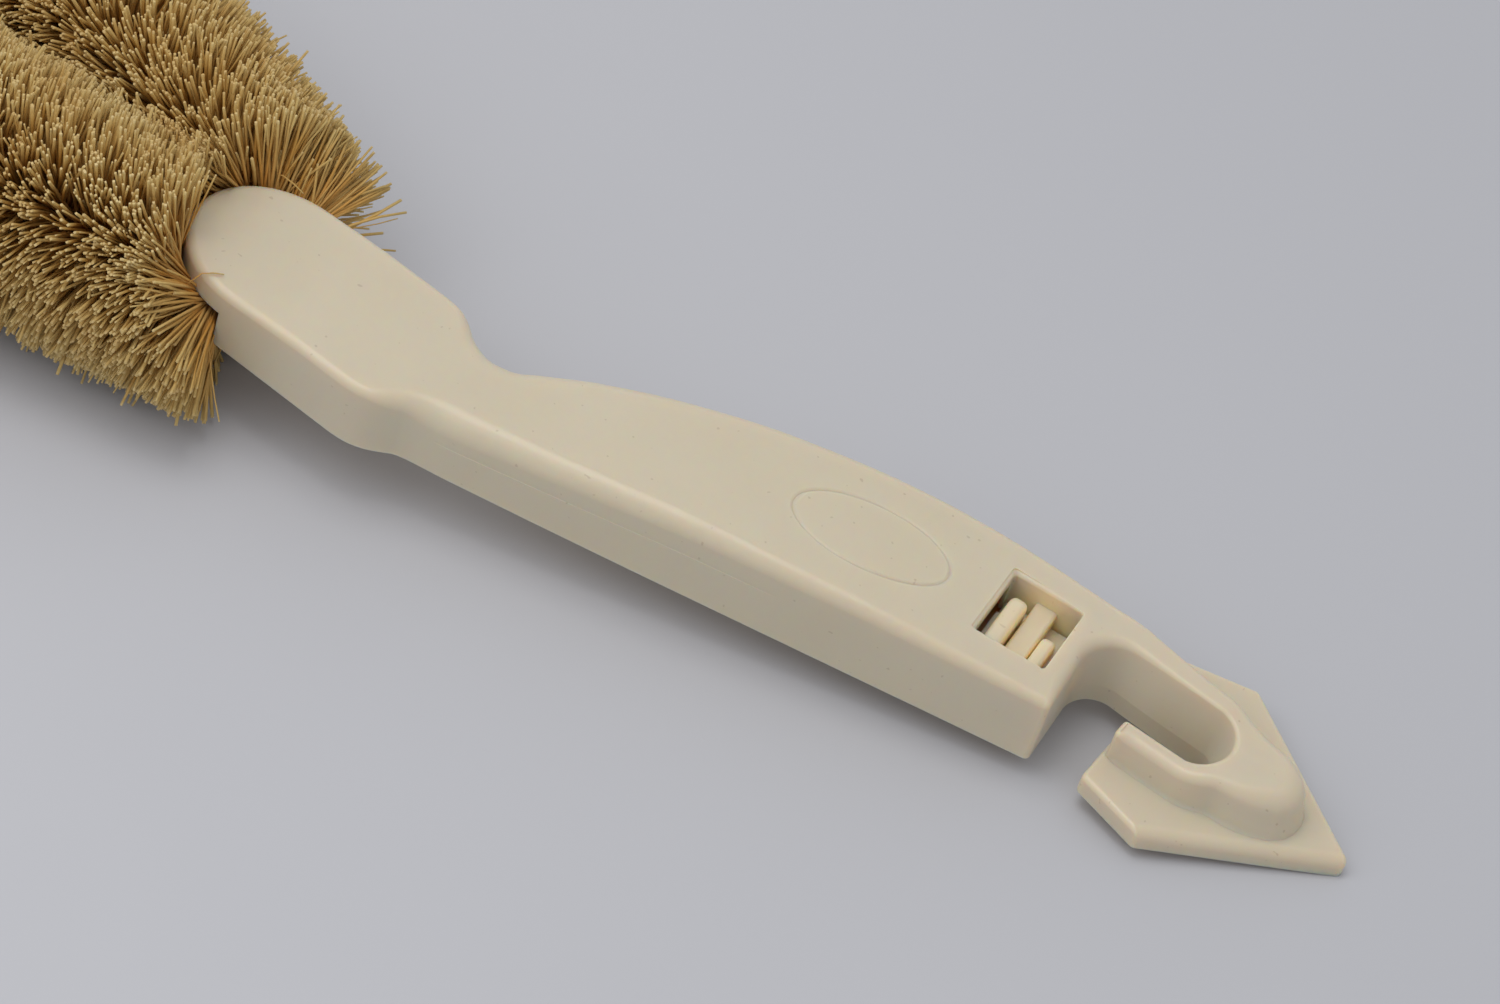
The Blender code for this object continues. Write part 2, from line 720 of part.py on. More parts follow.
def strand_path(route, phase):
    count = round(route.length / TWIST_PITCH * TWIST_POINTS)
    path = []
    for i in range(count + 1):
        distance = route.length * i / count
        point, _, side = route.frame(distance)
        angle = phase + 2 * math.pi * distance / TWIST_PITCH
        offset = side * math.cos(angle) + UP * math.sin(angle)
        path.append(point + offset * (STRAND_DIAMETER + STRAND_GAP) / 2)
    return path


def least_gap(first, second, apart=0):
    """The least gap between two strands, or within one between points that are some places apart."""
    halves = [(a + b) / 2 for a, b in zip(first, first[1:])]
    least = min(
        (point - other).length
        for points in (first, halves)
        for i, point in enumerate(points)
        for k, other in enumerate(second)
        if abs(i - k) >= apart
    )
    return least - STRAND_DIAMETER


def tube(path, radius, sides):
    shape = bmesh.new()
    rings = []
    side = UP
    for i, point in enumerate(path):
        along = (path[min(i + 1, len(path) - 1)] - path[max(i - 1, 0)]).normalized()
        side = (side - along * side.dot(along)).normalized()
        other = along.cross(side)
        ring = []
        for k in range(sides):
            angle = 2 * math.pi * k / sides
            ring.append(shape.verts.new(point + (side * math.cos(angle) + other * math.sin(angle)) * radius))
        rings.append(ring)
    join_rings(shape, rings)
    return shape


def build_stem(frame, material):
    route = Route()
    first = strand_path(route, 0)
    second = strand_path(route, math.pi)
    for name, path in (("stem_wire_a", first), ("stem_wire_b", second)):
        finish(add_solid(name, tube(path, STRAND_DIAMETER / 2, STRAND_SIDES)), frame, material)
    itself = least_gap(first, first, apart=TWIST_POINTS)
    print(f"stem wires, in millimetres: {least_gap(first, second) * 1000:.2f} least gap between the two, "
          f"{itself * 1000:.2f} from one turn of a wire to its next")
    return route


# Bristles

def envelope(distance, route):
    """The bristles' radius at one distance along the stem: less near the head box."""
    start = STEM_INSIDE_LENGTH + BRISTLE_START
    share = min(max(min(distance - start, route.length - start - distance) / BRISTLE_TAPER_LENGTH, 0.0), 1.0)
    return BRISTLE_ROOT_RADIUS + (BRISTLE_RADIUS - BRISTLE_ROOT_RADIUS) * share * (2 - share)


def rest_pitch(route):
    """How far the handle is tipped when the bristles near the head box are pressed a little on the table."""
    place = BRISTLE_TAPER_LENGTH / 4
    rise = envelope(STEM_INSIDE_LENGTH + place, route) - BRISTLE_PRESS - STEM_HEIGHT
    return math.asin(rise / -head_point(place, 0).x)


def strand_length(root, out, length, table):
    """A strand's length from the stem's middle line, as its surroundings allow, or zero where none does.

    table is (height of the root over the table, rise of the strand for each unit of its length).
    """
    height, rise = table
    if rise < 0:
        length = min(length, -height / rise)
    if root.x < bend_start():
        inward = -out.y * math.copysign(1.0, root.y)
        if inward > 0:
            length = min(length, (abs(root.y) - PIECE_GAP - BRISTLE_TIP_WIDTH / 2) / inward)
        if root.x < HOOD_LENGTH + BRISTLE_TIP_WIDTH and out.z > math.sin(HOOD_SHADOW):
            length = 0.0
    else:
        arm = (root - Vector((bend_start(), 0, root.z))).normalized()
        inward = -out.dot(arm)
        if inward > 0:
            length = min(length, bend_radius() * (1 - INNER_BEND_SHARE) / inward)
    return length if length > LEAST_BRISTLE else 0.0


class Slice:
    """A length of sleeve round the stem, with the strands of its rows grown out of its own faces."""

    def __init__(self, route, table_matrix, scatter):
        self.route = route
        self.table_matrix = table_matrix
        self.scatter = scatter
        self.shape = bmesh.new()
        self.strands = 0

    def ring(self, distance, radius, turn):
        point, _, side = self.route.frame(distance)
        made = []
        for k in range(STRANDS_PER_ROW):
            angle = turn + 2 * math.pi * (k - 1 / 2) / STRANDS_PER_ROW
            direction = side * math.cos(angle) + UP * math.sin(angle)
            made.append(self.shape.verts.new(point + direction * radius))
        return made

    def join(self, first, second):
        faces = []
        for k in range(STRANDS_PER_ROW):
            m = (k + 1) % STRANDS_PER_ROW
            faces.append(self.shape.faces.new((first[k], first[m], second[m], second[k])))
        return faces

    def grow(self, face, distance, angle):
        """Draws one face of the sleeve out into a strand that thins to its tip."""
        root, along, side = self.route.frame(distance)
        out = side * math.cos(angle) + UP * math.sin(angle)
        around = out.cross(along)
        rise = (self.table_matrix.to_3x3() @ out).z
        table = ((self.table_matrix @ root).z, rise)
        wanted = envelope(distance, self.route) - self.scatter.random() * LENGTH_SCATTER
        length = strand_length(root, out, wanted, table)
        if not length:
            return
        offsets = [vert.co - root for vert in face.verts]
        tip = bmesh.ops.extrude_discrete_faces(self.shape, faces=[face])["faces"][0]
        half = BRISTLE_TIP_WIDTH / 2
        for vert, offset in zip(tip.verts, offsets):
            across = around * math.copysign(half, offset.dot(around))
            lengthways = along * math.copysign(half, offset.dot(along))
            vert.co = root + out * length + across + lengthways
            below = min((self.table_matrix @ vert.co).z, 0.0)
            vert.co -= out * (below / rise)
        self.strands += 1

    def build(self, first_row, start, pitch):
        rows = range(first_row, first_row + ROWS_PER_SLICE)
        outer = stem_radius() + SLEEVE_CLEARANCE + SLEEVE_WALL
        bore = stem_radius() + SLEEVE_CLEARANCE
        begin = start + first_row * pitch + PIECE_GAP / 2
        end = start + (rows[-1] + 1) * pitch - PIECE_GAP / 2
        near = self.ring(begin, outer, ROW_TWIST * rows[0])
        inner = [self.ring(begin, bore, ROW_TWIST * rows[0])]
        self.join(inner[0], near)
        roots = []
        for row in rows:
            middle = start + (row + 1 / 2) * pitch
            low = self.ring(middle - BRISTLE_ROW_THICKNESS / 2, outer, ROW_TWIST * row)
            high = self.ring(middle + BRISTLE_ROW_THICKNESS / 2, outer, ROW_TWIST * row)
            self.join(near, low)
            roots.append((row, middle, self.join(low, high)))
            inner.append(self.ring(middle, bore, ROW_TWIST * row))
            near = high
        far = self.ring(end, outer, ROW_TWIST * rows[-1])
        inner.append(self.ring(end, bore, ROW_TWIST * rows[-1]))
        self.join(near, far)
        self.join(far, inner[-1])
        for before, after in zip(inner, inner[1:]):
            self.join(after, before)
        for row, middle, faces in roots:
            for k, face in enumerate(faces):
                self.grow(face, middle, ROW_TWIST * row + 2 * math.pi * k / STRANDS_PER_ROW)
        return self.shape


def build_bristles(frame, route, table_matrix, material):
    scatter = random.Random(SEED)
    start = STEM_INSIDE_LENGTH + BRISTLE_START
    pitch = (route.length - 2 * start) / (SLICES * ROWS_PER_SLICE)
    strands = 0
    for index in range(SLICES):
        part = Slice(route, table_matrix, scatter)
        shape = part.build(index * ROWS_PER_SLICE, start, pitch)
        strands += part.strands
        finish(add_solid(f"palm_bristles_{index + 1:02d}", shape), frame, material)
    print(f"bristle strands: {strands}, in rows {pitch * 1000:.2f} mm apart")


def settle(root):
    """Moves the brush so that its bounding box stands on z = 0 with its middle over the origin."""
    bpy.context.view_layer.update()
    corners = [item.matrix_world @ vert.co for item in bpy.data.objects if item.type == "MESH"
               for vert in item.data.vertices]
    low = Vector([min(corner[axis] for corner in corners) for axis in range(3)])
    high = Vector([max(corner[axis] for corner in corners) for axis in range(3)])
    root.location = (-(low.x + high.x) / 2, -(low.y + high.y) / 2, -low.z)
    bpy.context.view_layer.update()


def main():
    clear_scene()
    cream = make_material("cream_plastic", CREAM, 0.36)
    pale = make_material("cover_plastic", PALE_CREAM, 0.42)
    wire = make_material("galvanised_wire", GALVANISED, 0.35, 1.0)
    fibre = make_material("palm_fibre", STRAW, 0.8)
    route = Route()
    pitch = Matrix.Rotation(rest_pitch(route), 4, "Y")
    root = add_empty("brush")
    handle = add_empty("handle_frame", root, pitch)
    stem = add_empty("stem_frame", handle, head_matrix())
    build_body(handle, cream)
    build_cover(handle, pale)
    build_stem(stem, wire)
    build_bristles(stem, route, pitch @ head_matrix(), fibre)
    settle(root)


main()
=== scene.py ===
"""Palm shoe brush, dressed for its picture: a moulded handle, its cover, and palm fibres on a twisted stem.

Handle frame: the scraper's tip is at x = 0, x falls towards the bristles, y is across, and z = 0 is the
handle's flat underside. Stem frame: u runs out of the head box along the bristles, w is across, z is up.
"""

import math
import random
from bisect import bisect_right
from typing import NamedTuple

import bmesh
import bpy
from mathutils import Matrix, Vector, noise


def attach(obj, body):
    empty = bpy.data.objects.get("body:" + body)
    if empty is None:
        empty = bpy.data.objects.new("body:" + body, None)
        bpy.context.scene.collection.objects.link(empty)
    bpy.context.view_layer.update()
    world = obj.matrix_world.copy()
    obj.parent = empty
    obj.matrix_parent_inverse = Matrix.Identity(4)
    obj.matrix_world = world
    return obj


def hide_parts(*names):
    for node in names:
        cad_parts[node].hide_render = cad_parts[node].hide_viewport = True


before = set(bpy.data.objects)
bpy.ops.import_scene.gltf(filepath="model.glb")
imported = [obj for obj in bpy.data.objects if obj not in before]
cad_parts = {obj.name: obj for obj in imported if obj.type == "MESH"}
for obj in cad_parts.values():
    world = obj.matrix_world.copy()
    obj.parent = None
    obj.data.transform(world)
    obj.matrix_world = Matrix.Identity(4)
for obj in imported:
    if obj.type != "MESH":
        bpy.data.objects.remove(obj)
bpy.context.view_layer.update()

MM = 0.001
UP = Vector((0, 0, 1))

# Rest: how the handle frame lies on the table
REST_PITCH = math.radians(4.4208)
HANDLE_ORIGIN = Vector((0.123102, 0.014564, 0))

# Grip, neck and head box
REAR_REACH = 38.0 * MM
GRIP_LENGTH = 83.7 * MM
GRIP_WIDTH = 22.1 * MM
GRIP_HEIGHT = 11.5 * MM
BOX_LENGTH = 21.3 * MM
BOX_WIDTH = 20.1 * MM
BOX_HEIGHT = 9.5 * MM
FRONT_HEIGHT = 8.93 * MM
HEAD_SIDE_SHIFT = 19.7 * MM
HEAD_TURN = math.radians(3.6)
HOOD_LENGTH = 12.0 * MM
HOOD_LIP = 3.7 * MM
WALL = 1.5 * MM
TOP_WALL = 1.9 * MM
REAR_CORNER = 0.8 * MM
REAR_SLANT = math.radians(7.2)
NECK_EASE = 4.0 * MM
PARTING_SHARE = 0.6
PARTING_STEP = 0.05 * MM
PARTING_RISE = 0.06 * MM

# Rolls of the top edge, from wall to top face
HOOD_ROLL = 1.3 * MM
BOX_LEFT_ROLL = 1.1 * MM
BOX_RIGHT_ROLL = 1.6 * MM
GRIP_ROLL = 3.2 * MM
GRIP_END_ROLL = 1.2 * MM
REAR_ROLL = 1.9 * MM
SLOT_ROLL = 1.0 * MM

# Hook
SLOT_WIDTH = 7.2 * MM
SLOT_MIDDLE = Vector((-21.4 * MM, -0.1 * MM, 0))
THROAT_RADIUS = 4.8 * MM
ARM_END = -29.8 * MM
ARM_EASE = 0.5 * MM
HOOK_NOSE_WIDTH = 11.0 * MM
HOOK_SIDE_WIDTH = 4.9 * MM
HOOK_HEIGHT = 9.8 * MM
HOOK_ROLL = 3.2 * MM
HOOK_DRAFT = 1.4 * MM
SLOT_TOE = 1.4 * MM
REAR_TOE = 0.3 * MM
TOE_STEP = 0.07 * MM
THROAT_LIFT = 0.1 * MM
HOOK_RISE = 0.3 * MM
FOOT_RADIUS = 0.4 * MM
FOOT_SINK = 0.05 * MM
FOOT_STEP = 0.1 * MM

# Scraper plate
NOSE_LENGTH = 20.8 * MM
PLATE_LENGTH = 30.3 * MM
PLATE_WIDTH = 28.6 * MM
PLATE_BACK_WIDTH = 23.6 * MM
PLATE_SIDE_SHIFT = 1.1 * MM
PLATE_THICKNESS = 2.8 * MM
PLATE_CORNER = 0.8 * MM
LEAST_PLATE_CORNER = 0.2 * MM
PLATE_ROLLS = (0.8 * MM, 0.7 * MM, 0.5 * MM, 0.7 * MM, 1.5 * MM)

# Latch window, its bar, and the cover's two fingers
WINDOW_LENGTH = 9.3 * MM
WINDOW_WIDTH = 10.4 * MM
WINDOW_SHARE = 0.909
WINDOW_SHIFT = Vector((0.3 * MM, 0.45 * MM, 0))
WINDOW_TURN = math.radians(4.5)
WINDOW_DEPTH = 6.5 * MM
WINDOW_ROLL = 0.5 * MM
WINDOW_CORNER = 0.4 * MM
FLARE_SHARE = 1.3
SHAFT_WALL = 1.2 * MM
BAR_WIDTH = 2.9 * MM
BAR_HEIGHT = 2.2 * MM
BAR_SHIFT = 0.4 * MM
BAR_DEPTH = 2.6 * MM
BAR_EASE = 0.5 * MM
# thickness, width, depth below the grip's top, radius of the far corner, and softening of a finger
LONG_FINGER = (2.2 * MM, 8.5 * MM, 0.7 * MM, 2.0 * MM, 0.75 * MM)
SHORT_FINGER = (1.8 * MM, 5.8 * MM, 1.5 * MM, 1.5 * MM, 0.6 * MM)
FINGER_ROOT_DEPTH = 3.3 * MM
WINDOW_FLOOR_DEPTH = 5.1 * MM

# Oval ring on the grip
OVAL_SHARE = 0.667
OVAL_LENGTH = 20.2 * MM
OVAL_WIDTH = 9.9 * MM
OVAL_TURN = math.radians(9.7)
OVAL_GROOVE = 0.9 * MM
OVAL_DEPTH = 0.24 * MM
OVAL_FLARE = 2.0

# Base cover
COVER_THICKNESS = 1.2 * MM
COVER_RIB = 1.5 * MM
COVER_RIB_WIDTH = 6.0 * MM
COVER_RIB_HEIGHT = 6.2 * MM
COVER_RIB_SHARES = (0.35, 0.60)

# Twisted stem and palm fibres
TWIST_PITCH = 9.8 * MM
STEM_HEIGHT = 2.9 * MM
STEM_INSIDE = 16.5 * MM
STEM_ROOT_SIDE = 7.05 * MM
STEM_SPREAD = 45.0 * MM
BEND_RADIUS = 14.0 * MM
BEND_START = 74.4 * MM
BRISTLE_RADIUS = 16.6 * MM
BRISTLE_ROOT_RADIUS = 14.5 * MM
BRISTLE_TAPER = 42.0 * MM
BRISTLE_START = 1.2 * MM
FIBRE_THICKNESS = 0.40 * MM
FIBRES_PER_SLICE = 2400
FIBRE_STEPS = 4
FIBRE_SIDES = 4
SLICES = 12
SEED = 11
MOST_TRIES = 3
TURN_SPREAD = 0.55
THICKNESS_SHARES = (0.6, 1.25)
ROOT_THICKNESS = 1.1
TIP_LOSS = 0.2
STRAY_THICKNESS = 0.5
STRAY_TONE = 0.8

# Noise that neighbouring fibres share: its scale along the stem, its scale round the stem, and its shift
PATCH_NOISE = (300, 2.2, 0)
TUFT_NOISE = (850, 6, 9)
# How a fibre leans along the stem and swings round it: its own spread, then the shares of patch and tuft
LEAN = (0.08, 0.22, 0.16)
SWING = (0.11, 0.20, 0.18)
# Near the head box the upper fibres lean out from under it and the lower ones lean back
UPPER_GAIN = 1.5
UPPER_LEAN = 0.50
UPPER_REACH = 8.0 * MM
LOWER_LEANS = (0.15, 0.85)
LOWER_REACH = 4.5 * MM
# How fibres differ in length, and how they bow
CUT_SPREAD = 0.5 * MM
PATCH_CUT = 0.9 * MM
SHORT_CHANCE = 0.14
SHORT_SHARES = (0.62, 0.92)
LONG_CHANCE = 0.02
BOX_LONG_CHANCE = 0.10
BOX_LONG_REACH = 4.0 * MM
LONG_MM = (0.5, 2.2)
BOW_MM = 0.55
PATCH_BOW_MM = 1.2
# How fibres keep to their own side of the loop, and how much of what they lose there goes up or down
MIDDLE_MM = (0.1, 0.9)
HOLE_RADIUS = 1.5 * MM
HOLE_BACK = 3 * MM
MOST_LOST = 5 * MM
ASIDE_SHARE = 0.75
# How far fibres keep off the hood's lip, the front face, the head box's sides, the hood's rim and the table
LIP_GAP = 0.2 * MM
FACE_GAP = 0.4 * MM
SIDE_GAP = 0.3 * MM
RIM_GAP = 0.5 * MM
TABLE_GAP = 0.15 * MM
TOP_ROOM = 0.6 * MM

# Colours, in the order that each material mixes them
CREAM = (0.635, 0.56, 0.428, 1)
CREAM_CLOUD = (0.62, 0.543, 0.408, 1)
PALE = (0.66, 0.583, 0.443, 1)
PALE_CLOUD = (0.64, 0.56, 0.418, 1)
SPECK = (0.40, 0.31, 0.20, 1)
# Painted warm bounce light, mixed into the plastic on faces that look downward
PAINTED_BOUNCE_WARMTH = (0.71, 0.54, 0.31, 1)
# Painted glow: warm light painted deep in the latch window
PAINTED_WINDOW_GLOW = (1.0, 0.76, 0.44, 1)
# Fibre colour from root to tip, with painted shade: darker burnt orange towards the roots, deep between the
# fibres
FIBRE_RAMP_WITH_ROOT_SHADE = (
    (0.30, (0.66, 0.27, 0.035, 1)), (0.70, (0.60, 0.31, 0.058, 1)), (0.97, (0.58, 0.41, 0.145, 1)),
    (0.995, (0.72, 0.57, 0.29, 1)),
)
FIBRE_PATCH = (0.50, 0.27, 0.055, 1)
FIBRE_STRAW = (0.62, 0.47, 0.19, 1)
FIBRE_STREAK = (0.40, 0.21, 0.04, 1)
ZINC = (0.50, 0.50, 0.49, 1)
DARK_ZINC = (0.34, 0.34, 0.34, 1)
STAIN = (0.20, 0.13, 0.07, 1)
TABLE = (0.555, 0.555, 0.585, 1)
TABLE_CLOUD = (0.53, 0.53, 0.562, 1)
# Painted shade: the table's colour towards its darker side
PAINTED_SHADE_TABLE = (0.475, 0.475, 0.505, 1)
# The way in which the table darkens: painted shade, a falloff of the light painted into its colour
PAINTED_SHADE_WAY = (0.62, 0.78, 0)

# Masks: the scale, detail and roughness of a noise, then its range and the range that this is spread to
PLASTIC_CLOUDS = ((55, 4, 0.55), (0.35, 0.7, 0.0, 1.0))
PLASTIC_SPECKS = ((1500, 0, 0.4), (0.82, 0.86, 0.0, 0.45))
HANDLING_MARKS = ((160, 6, 0.7), (0.3, 0.7, -0.02, 0.03))
FIBRE_PATCHES = ((95, 2, 0.5), (0.3, 0.7, 0.0, 0.6))
FIBRE_STREAKS = ((1900, 2, 0.6), (0.35, 0.75, 0.0, 0.35))
WIRE_SPANGLE = ((700, 3, 0.6), (0.35, 0.7, 0.0, 1.0))
WIRE_STAINS = ((180, 3, 0.6), (0.55, 0.72, 0.0, 0.6))
TABLE_CLOUDS = ((9, 3, 0.5), (0.3, 0.7, 0.0, 1.0))
# Reliefs: the same three values of a noise
PLASTIC_WAVES = (70, 2, 0.4)
PLASTIC_GRAIN = (2600, 2, 0.5)
FIBRE_GRAIN = (5200, 1, 0.5)
WIRE_GRAIN = (2200, 2, 0.5)
WAVE_SHARE = 12.0
PLASTIC_BUMP = 0.04 * MM
FIBRE_BUMP = 0.05 * MM
WIRE_BUMP = 0.03 * MM
# Other ranges, and what they are spread to
PAINTED_GLOW_DEPTH = 6 * MM
PAINTED_GLOW_REACH = (8.2 * MM, 5.6 * MM, 0.0, 1.0)
PAINTED_GLOW_UPRIGHT_SPREAD = (0.3, 0.8, 1.0, 0.25)
PAINTED_BOUNCE_SPREAD = (0.5, 0.9, 0.0, 1.0)
TONE_SPREAD = (0.0, 1.0, 0.0, 0.55)
FIBRE_ROUGHNESS = (0.0, 1.0, 0.5, 0.72)
WIRE_ROUGHNESS = (0.0, 1.0, 0.28, 0.5)
PAINTED_SHADE_SPREAD = (-0.12, 0.16, 0.0, 1.0)

# Lamps: name, place, what it points at, size, power and colour
LAMPS = (
    ("ceiling_light", (-0.12, 0.02, 1.0), (0.0, 0, 0), 0.5, 1.7, (1.0, 0.99, 0.97)),
    ("window_light", (-0.25, -0.3, 0.78), (-0.05, -0.05, 0), 0.7, 1.35, (1.0, 0.99, 0.97)),
    ("room_light", (-0.4, -0.4, 0.5), (-0.1, -0.1, 0), 0.5, 0.35, (0.98, 0.99, 1.0)),
)
ROOM_COLOUR = (0.96, 0.98, 1.0, 1)
ROOM_STRENGTH = 0.66
TABLE_HALF = 3.0

# The photograph's camera in the handle frame
CAMERA_RIGHT = Vector((0.8085, 0.5450, 0.2221))
CAMERA_DOWN = Vector((0.5468, -0.5561, -0.6259))
CAMERA_FORWARD = Vector((-0.2176, 0.6275, -0.7476))
CAMERA_PLACE = Vector((0.072549, -0.4498625, 0.5333029))
SENSOR_WIDTH = 36.0
LENS = 144.0

# Fits
GAP = 0.3 * MM
OVERLAP = 0.4 * MM
OVERRUN = 2.0 * MM
SMOOTH_ANGLE = math.radians(32)
MERGE_DISTANCE = 0.0001 * MM
LEAST_RADIUS = 0.05 * MM

# Counts
ROLL_STEPS = 7
HOOD_STEPS = 18
BOX_STEPS = 30
NECK_STEPS = 18
GRIP_STEPS = 44
EASE_PASSES = 14
CORNER_POINTS = 8
REAR_STEPS = 10
THROAT_STEPS = 12
LIMB_STEPS = 8
TURN_STEPS = 28
ARM_STEPS = 6
ARM_END_STEPS = 4
FOOT_STEPS = 4
PLATE_CORNER_STEPS = 5
PLATE_ROLL_STEPS = 6
FLARE_STEPS = 4
EASE_STEPS = 3
TAB_STEPS = 8
TAB_EASE_STEPS = 5
INNER_STEPS = 14
HOLLOW_STEPS = 24
SLOT_END_STEPS = 20
OVAL_STEPS = 96
STEM_STEPS = 180
BEND_STEPS = 60

# Shares of the grip's length from the head box to the rear face, each with a share of its width
LEFT_SHARES = (
    (0.000, -1.353), (0.018, -1.285), (0.034, -1.235), (0.055, -1.203), (0.120, -1.162), (1.000, -0.516),
)
RIGHT_SHARES = (
    (0.000, -0.439), (0.014, -0.469), (0.032, -0.531), (0.052, -0.572), (0.080, -0.596), (0.108, -0.581),
    (0.145, -0.492), (0.215, -0.326), (0.334, -0.117), (0.486, 0.074), (0.664, 0.237), (0.870, 0.326),
    (1.000, 0.340),
)
# Where the grip's rolls have grown to full size, where its fine steps end, and where the way of its left
# wall is read
ROLL_START_SHARE = 0.08
NECK_END_SHARE = 0.15
REAR_READ_SHARE = 0.95
# The places of the inner walls round the neck, and where they go on in even steps
INNER_SHARES = (0.018, 0.034, 0.055, 0.08, 0.108, 0.145)
INNER_START_SHARE = 0.18
# The same shares of the length, each with a share of the grip's height
HEIGHT_SHARES = (
    (0.000, 0.831), (0.100, 0.838), (0.210, 0.878), (0.320, 0.930), (0.500, 1.000), (0.700, 1.000),
    (0.860, 0.956), (1.000, 0.913),
)
# The same shares of the length, each with how clearly the parting line shows on the left wall
PARTING_SHARES = ((0.060, 0.0), (0.110, 1.0), (0.560, 1.0), (0.700, 0.0))
# Shares of the half turn round the slot's end, each with a share of the hook's width, then of its height
HOOK_WIDTH_SHARES = (
    (0.000, 0.390), (0.130, 0.385), (0.250, 0.480), (0.331, 0.740), (0.389, 0.905), (0.453, 1.000),
    (0.500, 0.985), (0.570, 0.855), (0.633, 0.620), (0.770, 0.280), (1.000, 0.240),
)
HOOK_HEIGHT_SHARES = ((0.000, 1.000), (0.500, 0.905), (1.000, 0.760))
# The same half turn, each with a share of the outer draft, of the outer roll, of the slot's roll and of the
# hollow at the foot, and where the slot's lean at its foot fades out
DRAFT_SHARES = ((0.000, 0.95), (0.250, 1.00), (0.453, 0.55), (0.570, 0.50), (0.770, 0.18), (1.000, 0.14))
OUTER_ROLL_SHARES = ((0.000, 0.40), (0.250, 0.50), (0.453, 1.00), (0.570, 0.85), (0.770, 0.40), (1.000, 0.38))
SLOT_ROLL_SHARES = ((0.000, 0.50), (0.300, 0.60), (0.500, 0.80), (0.800, 0.60), (1.000, 0.60))
FOOT_SHARES = ((0.000, 0.00), (0.440, 0.40), (0.560, 0.70), (0.660, 1.00), (1.000, 0.90))
TOE_FADE_SHARES = (0.5, 0.8)


# Shapes

def curve_through(points, along):
    """The height at one place of a smooth curve through points in order, which never overshoots them."""
    if along <= points[0][0]:
        return points[0][1]
    if along >= points[-1][0]:
        return points[-1][1]
    rises = [(b[1] - a[1]) / (b[0] - a[0]) for a, b in zip(points, points[1:])]
    slopes = [rises[0]]
    for before, after in zip(rises, rises[1:]):
        slopes.append(0.0 if before * after <= 0 else 2 * before * after / (before + after))
    slopes.append(rises[-1])
    span = next(i for i in range(len(rises)) if along <= points[i + 1][0])
    (x0, y0), (x1, y1) = points[span], points[span + 1]
    width = x1 - x0
    t = (along - x0) / width
    return (
        y0 * (1 + 2 * t) * (1 - t) ** 2
        + slopes[span] * width * t * (1 - t) ** 2
        + y1 * t * t * (3 - 2 * t)
        - slopes[span + 1] * width * t * t * (1 - t)
    )


def smooth_share(value):
    share = min(max(value, 0.0), 1.0)
    return share * share * (3 - 2 * share)


def even_steps(start, end, count):
    """Places from the start to the end, with both of them."""
    return [start + (end - start) * step / count for step in range(count + 1)]


def arc(centre, radius, start, end, segments):
    """Points round a centre, by an angle that starts at +y and turns towards +x."""
    points = []
    for angle in even_steps(start, end, segments):
        points.append(centre + Vector((math.sin(angle), math.cos(angle), 0)) * radius)
    return points


def handle_to_world():
    return Matrix.Translation(HANDLE_ORIGIN) @ Matrix.Rotation(REST_PITCH, 4, "Y")


def add_object(name, data):
    item = bpy.data.objects.new(name, data)
    bpy.context.scene.collection.objects.link(item)
    return item


def new_piece(name, shape):
    """An object at the origin from a bmesh, facing outwards, with its place in its mesh."""
    bmesh.ops.remove_doubles(shape, verts=shape.verts, dist=MERGE_DISTANCE)
    bmesh.ops.recalc_face_normals(shape, faces=shape.faces)
    mesh = bpy.data.meshes.new(name)
    shape.to_mesh(mesh)
    shape.free()
    return add_object(name, mesh)


def settled_mesh(item):
    """An object's mesh as it stands after its modifiers, or after its curve's bevel."""
    graph = bpy.context.evaluated_depsgraph_get()
    return bpy.data.meshes.new_from_object(item.evaluated_get(graph))


def bake_modifiers(item):
    result = settled_mesh(item)
    item.modifiers.clear()
    item.data = result


def combine(item, shape, operation):
    """Adds a shape to a piece, or cuts it out, while both lie in the handle frame."""
    tool = new_piece("tool", shape)
    modifier = item.modifiers.new("combine", "BOOLEAN")
    modifier.operation = operation
    modifier.solver = "EXACT"
    modifier.object = tool
    bake_modifiers(item)
    bpy.data.objects.remove(tool, do_unlink=True)


def finish_piece(item, material):
    """Puts a piece from the handle frame in its place, with soft shading over its low edges."""
    item.data.transform(handle_to_world())
    item.data.materials.clear()
    item.data.materials.append(material)
    item.data.shade_smooth()
    item.data.set_sharp_from_angle(angle=SMOOTH_ANGLE)
    weighted = item.modifiers.new("soft_shading", "WEIGHTED_NORMAL")
    weighted.keep_sharp = True
    bake_modifiers(item)


def face_from(outline):
    """A bmesh with one flat face."""
    shape = bmesh.new()
    shape.faces.new([shape.verts.new(point) for point in outline])
    return shape


def draw_out(shape, way):
    """Extrudes a bmesh's faces by one way and returns the moved vertices."""
    made = bmesh.ops.extrude_face_region(shape, geom=shape.faces[:])["geom"]
    moved = [part for part in made if isinstance(part, bmesh.types.BMVert)]
    bmesh.ops.translate(shape, vec=way, verts=moved)
    return moved


def soften_edges(shape, edges, reach, segments):
    bmesh.ops.bevel(shape, geom=edges, offset=reach, segments=segments, profile=0.5,
                    affect="EDGES", material=-1)


def block(x0, x1, y0, y1, z0, z1, matrix=None, ease=0.0):
    """A box between three pairs of places, with its edges rounded a little where asked."""
    shape = bmesh.new()
    bmesh.ops.create_cube(shape, size=1.0)
    bmesh.ops.scale(shape, vec=(x1 - x0, y1 - y0, z1 - z0), verts=shape.verts)
    bmesh.ops.translate(shape, vec=((x0 + x1) / 2, (y0 + y1) / 2, (z0 + z1) / 2), verts=shape.verts)
    if ease:
        soften_edges(shape, shape.edges[:], ease, EASE_STEPS)
    if matrix is not None:
        bmesh.ops.transform(shape, matrix=matrix, verts=shape.verts)
    return shape


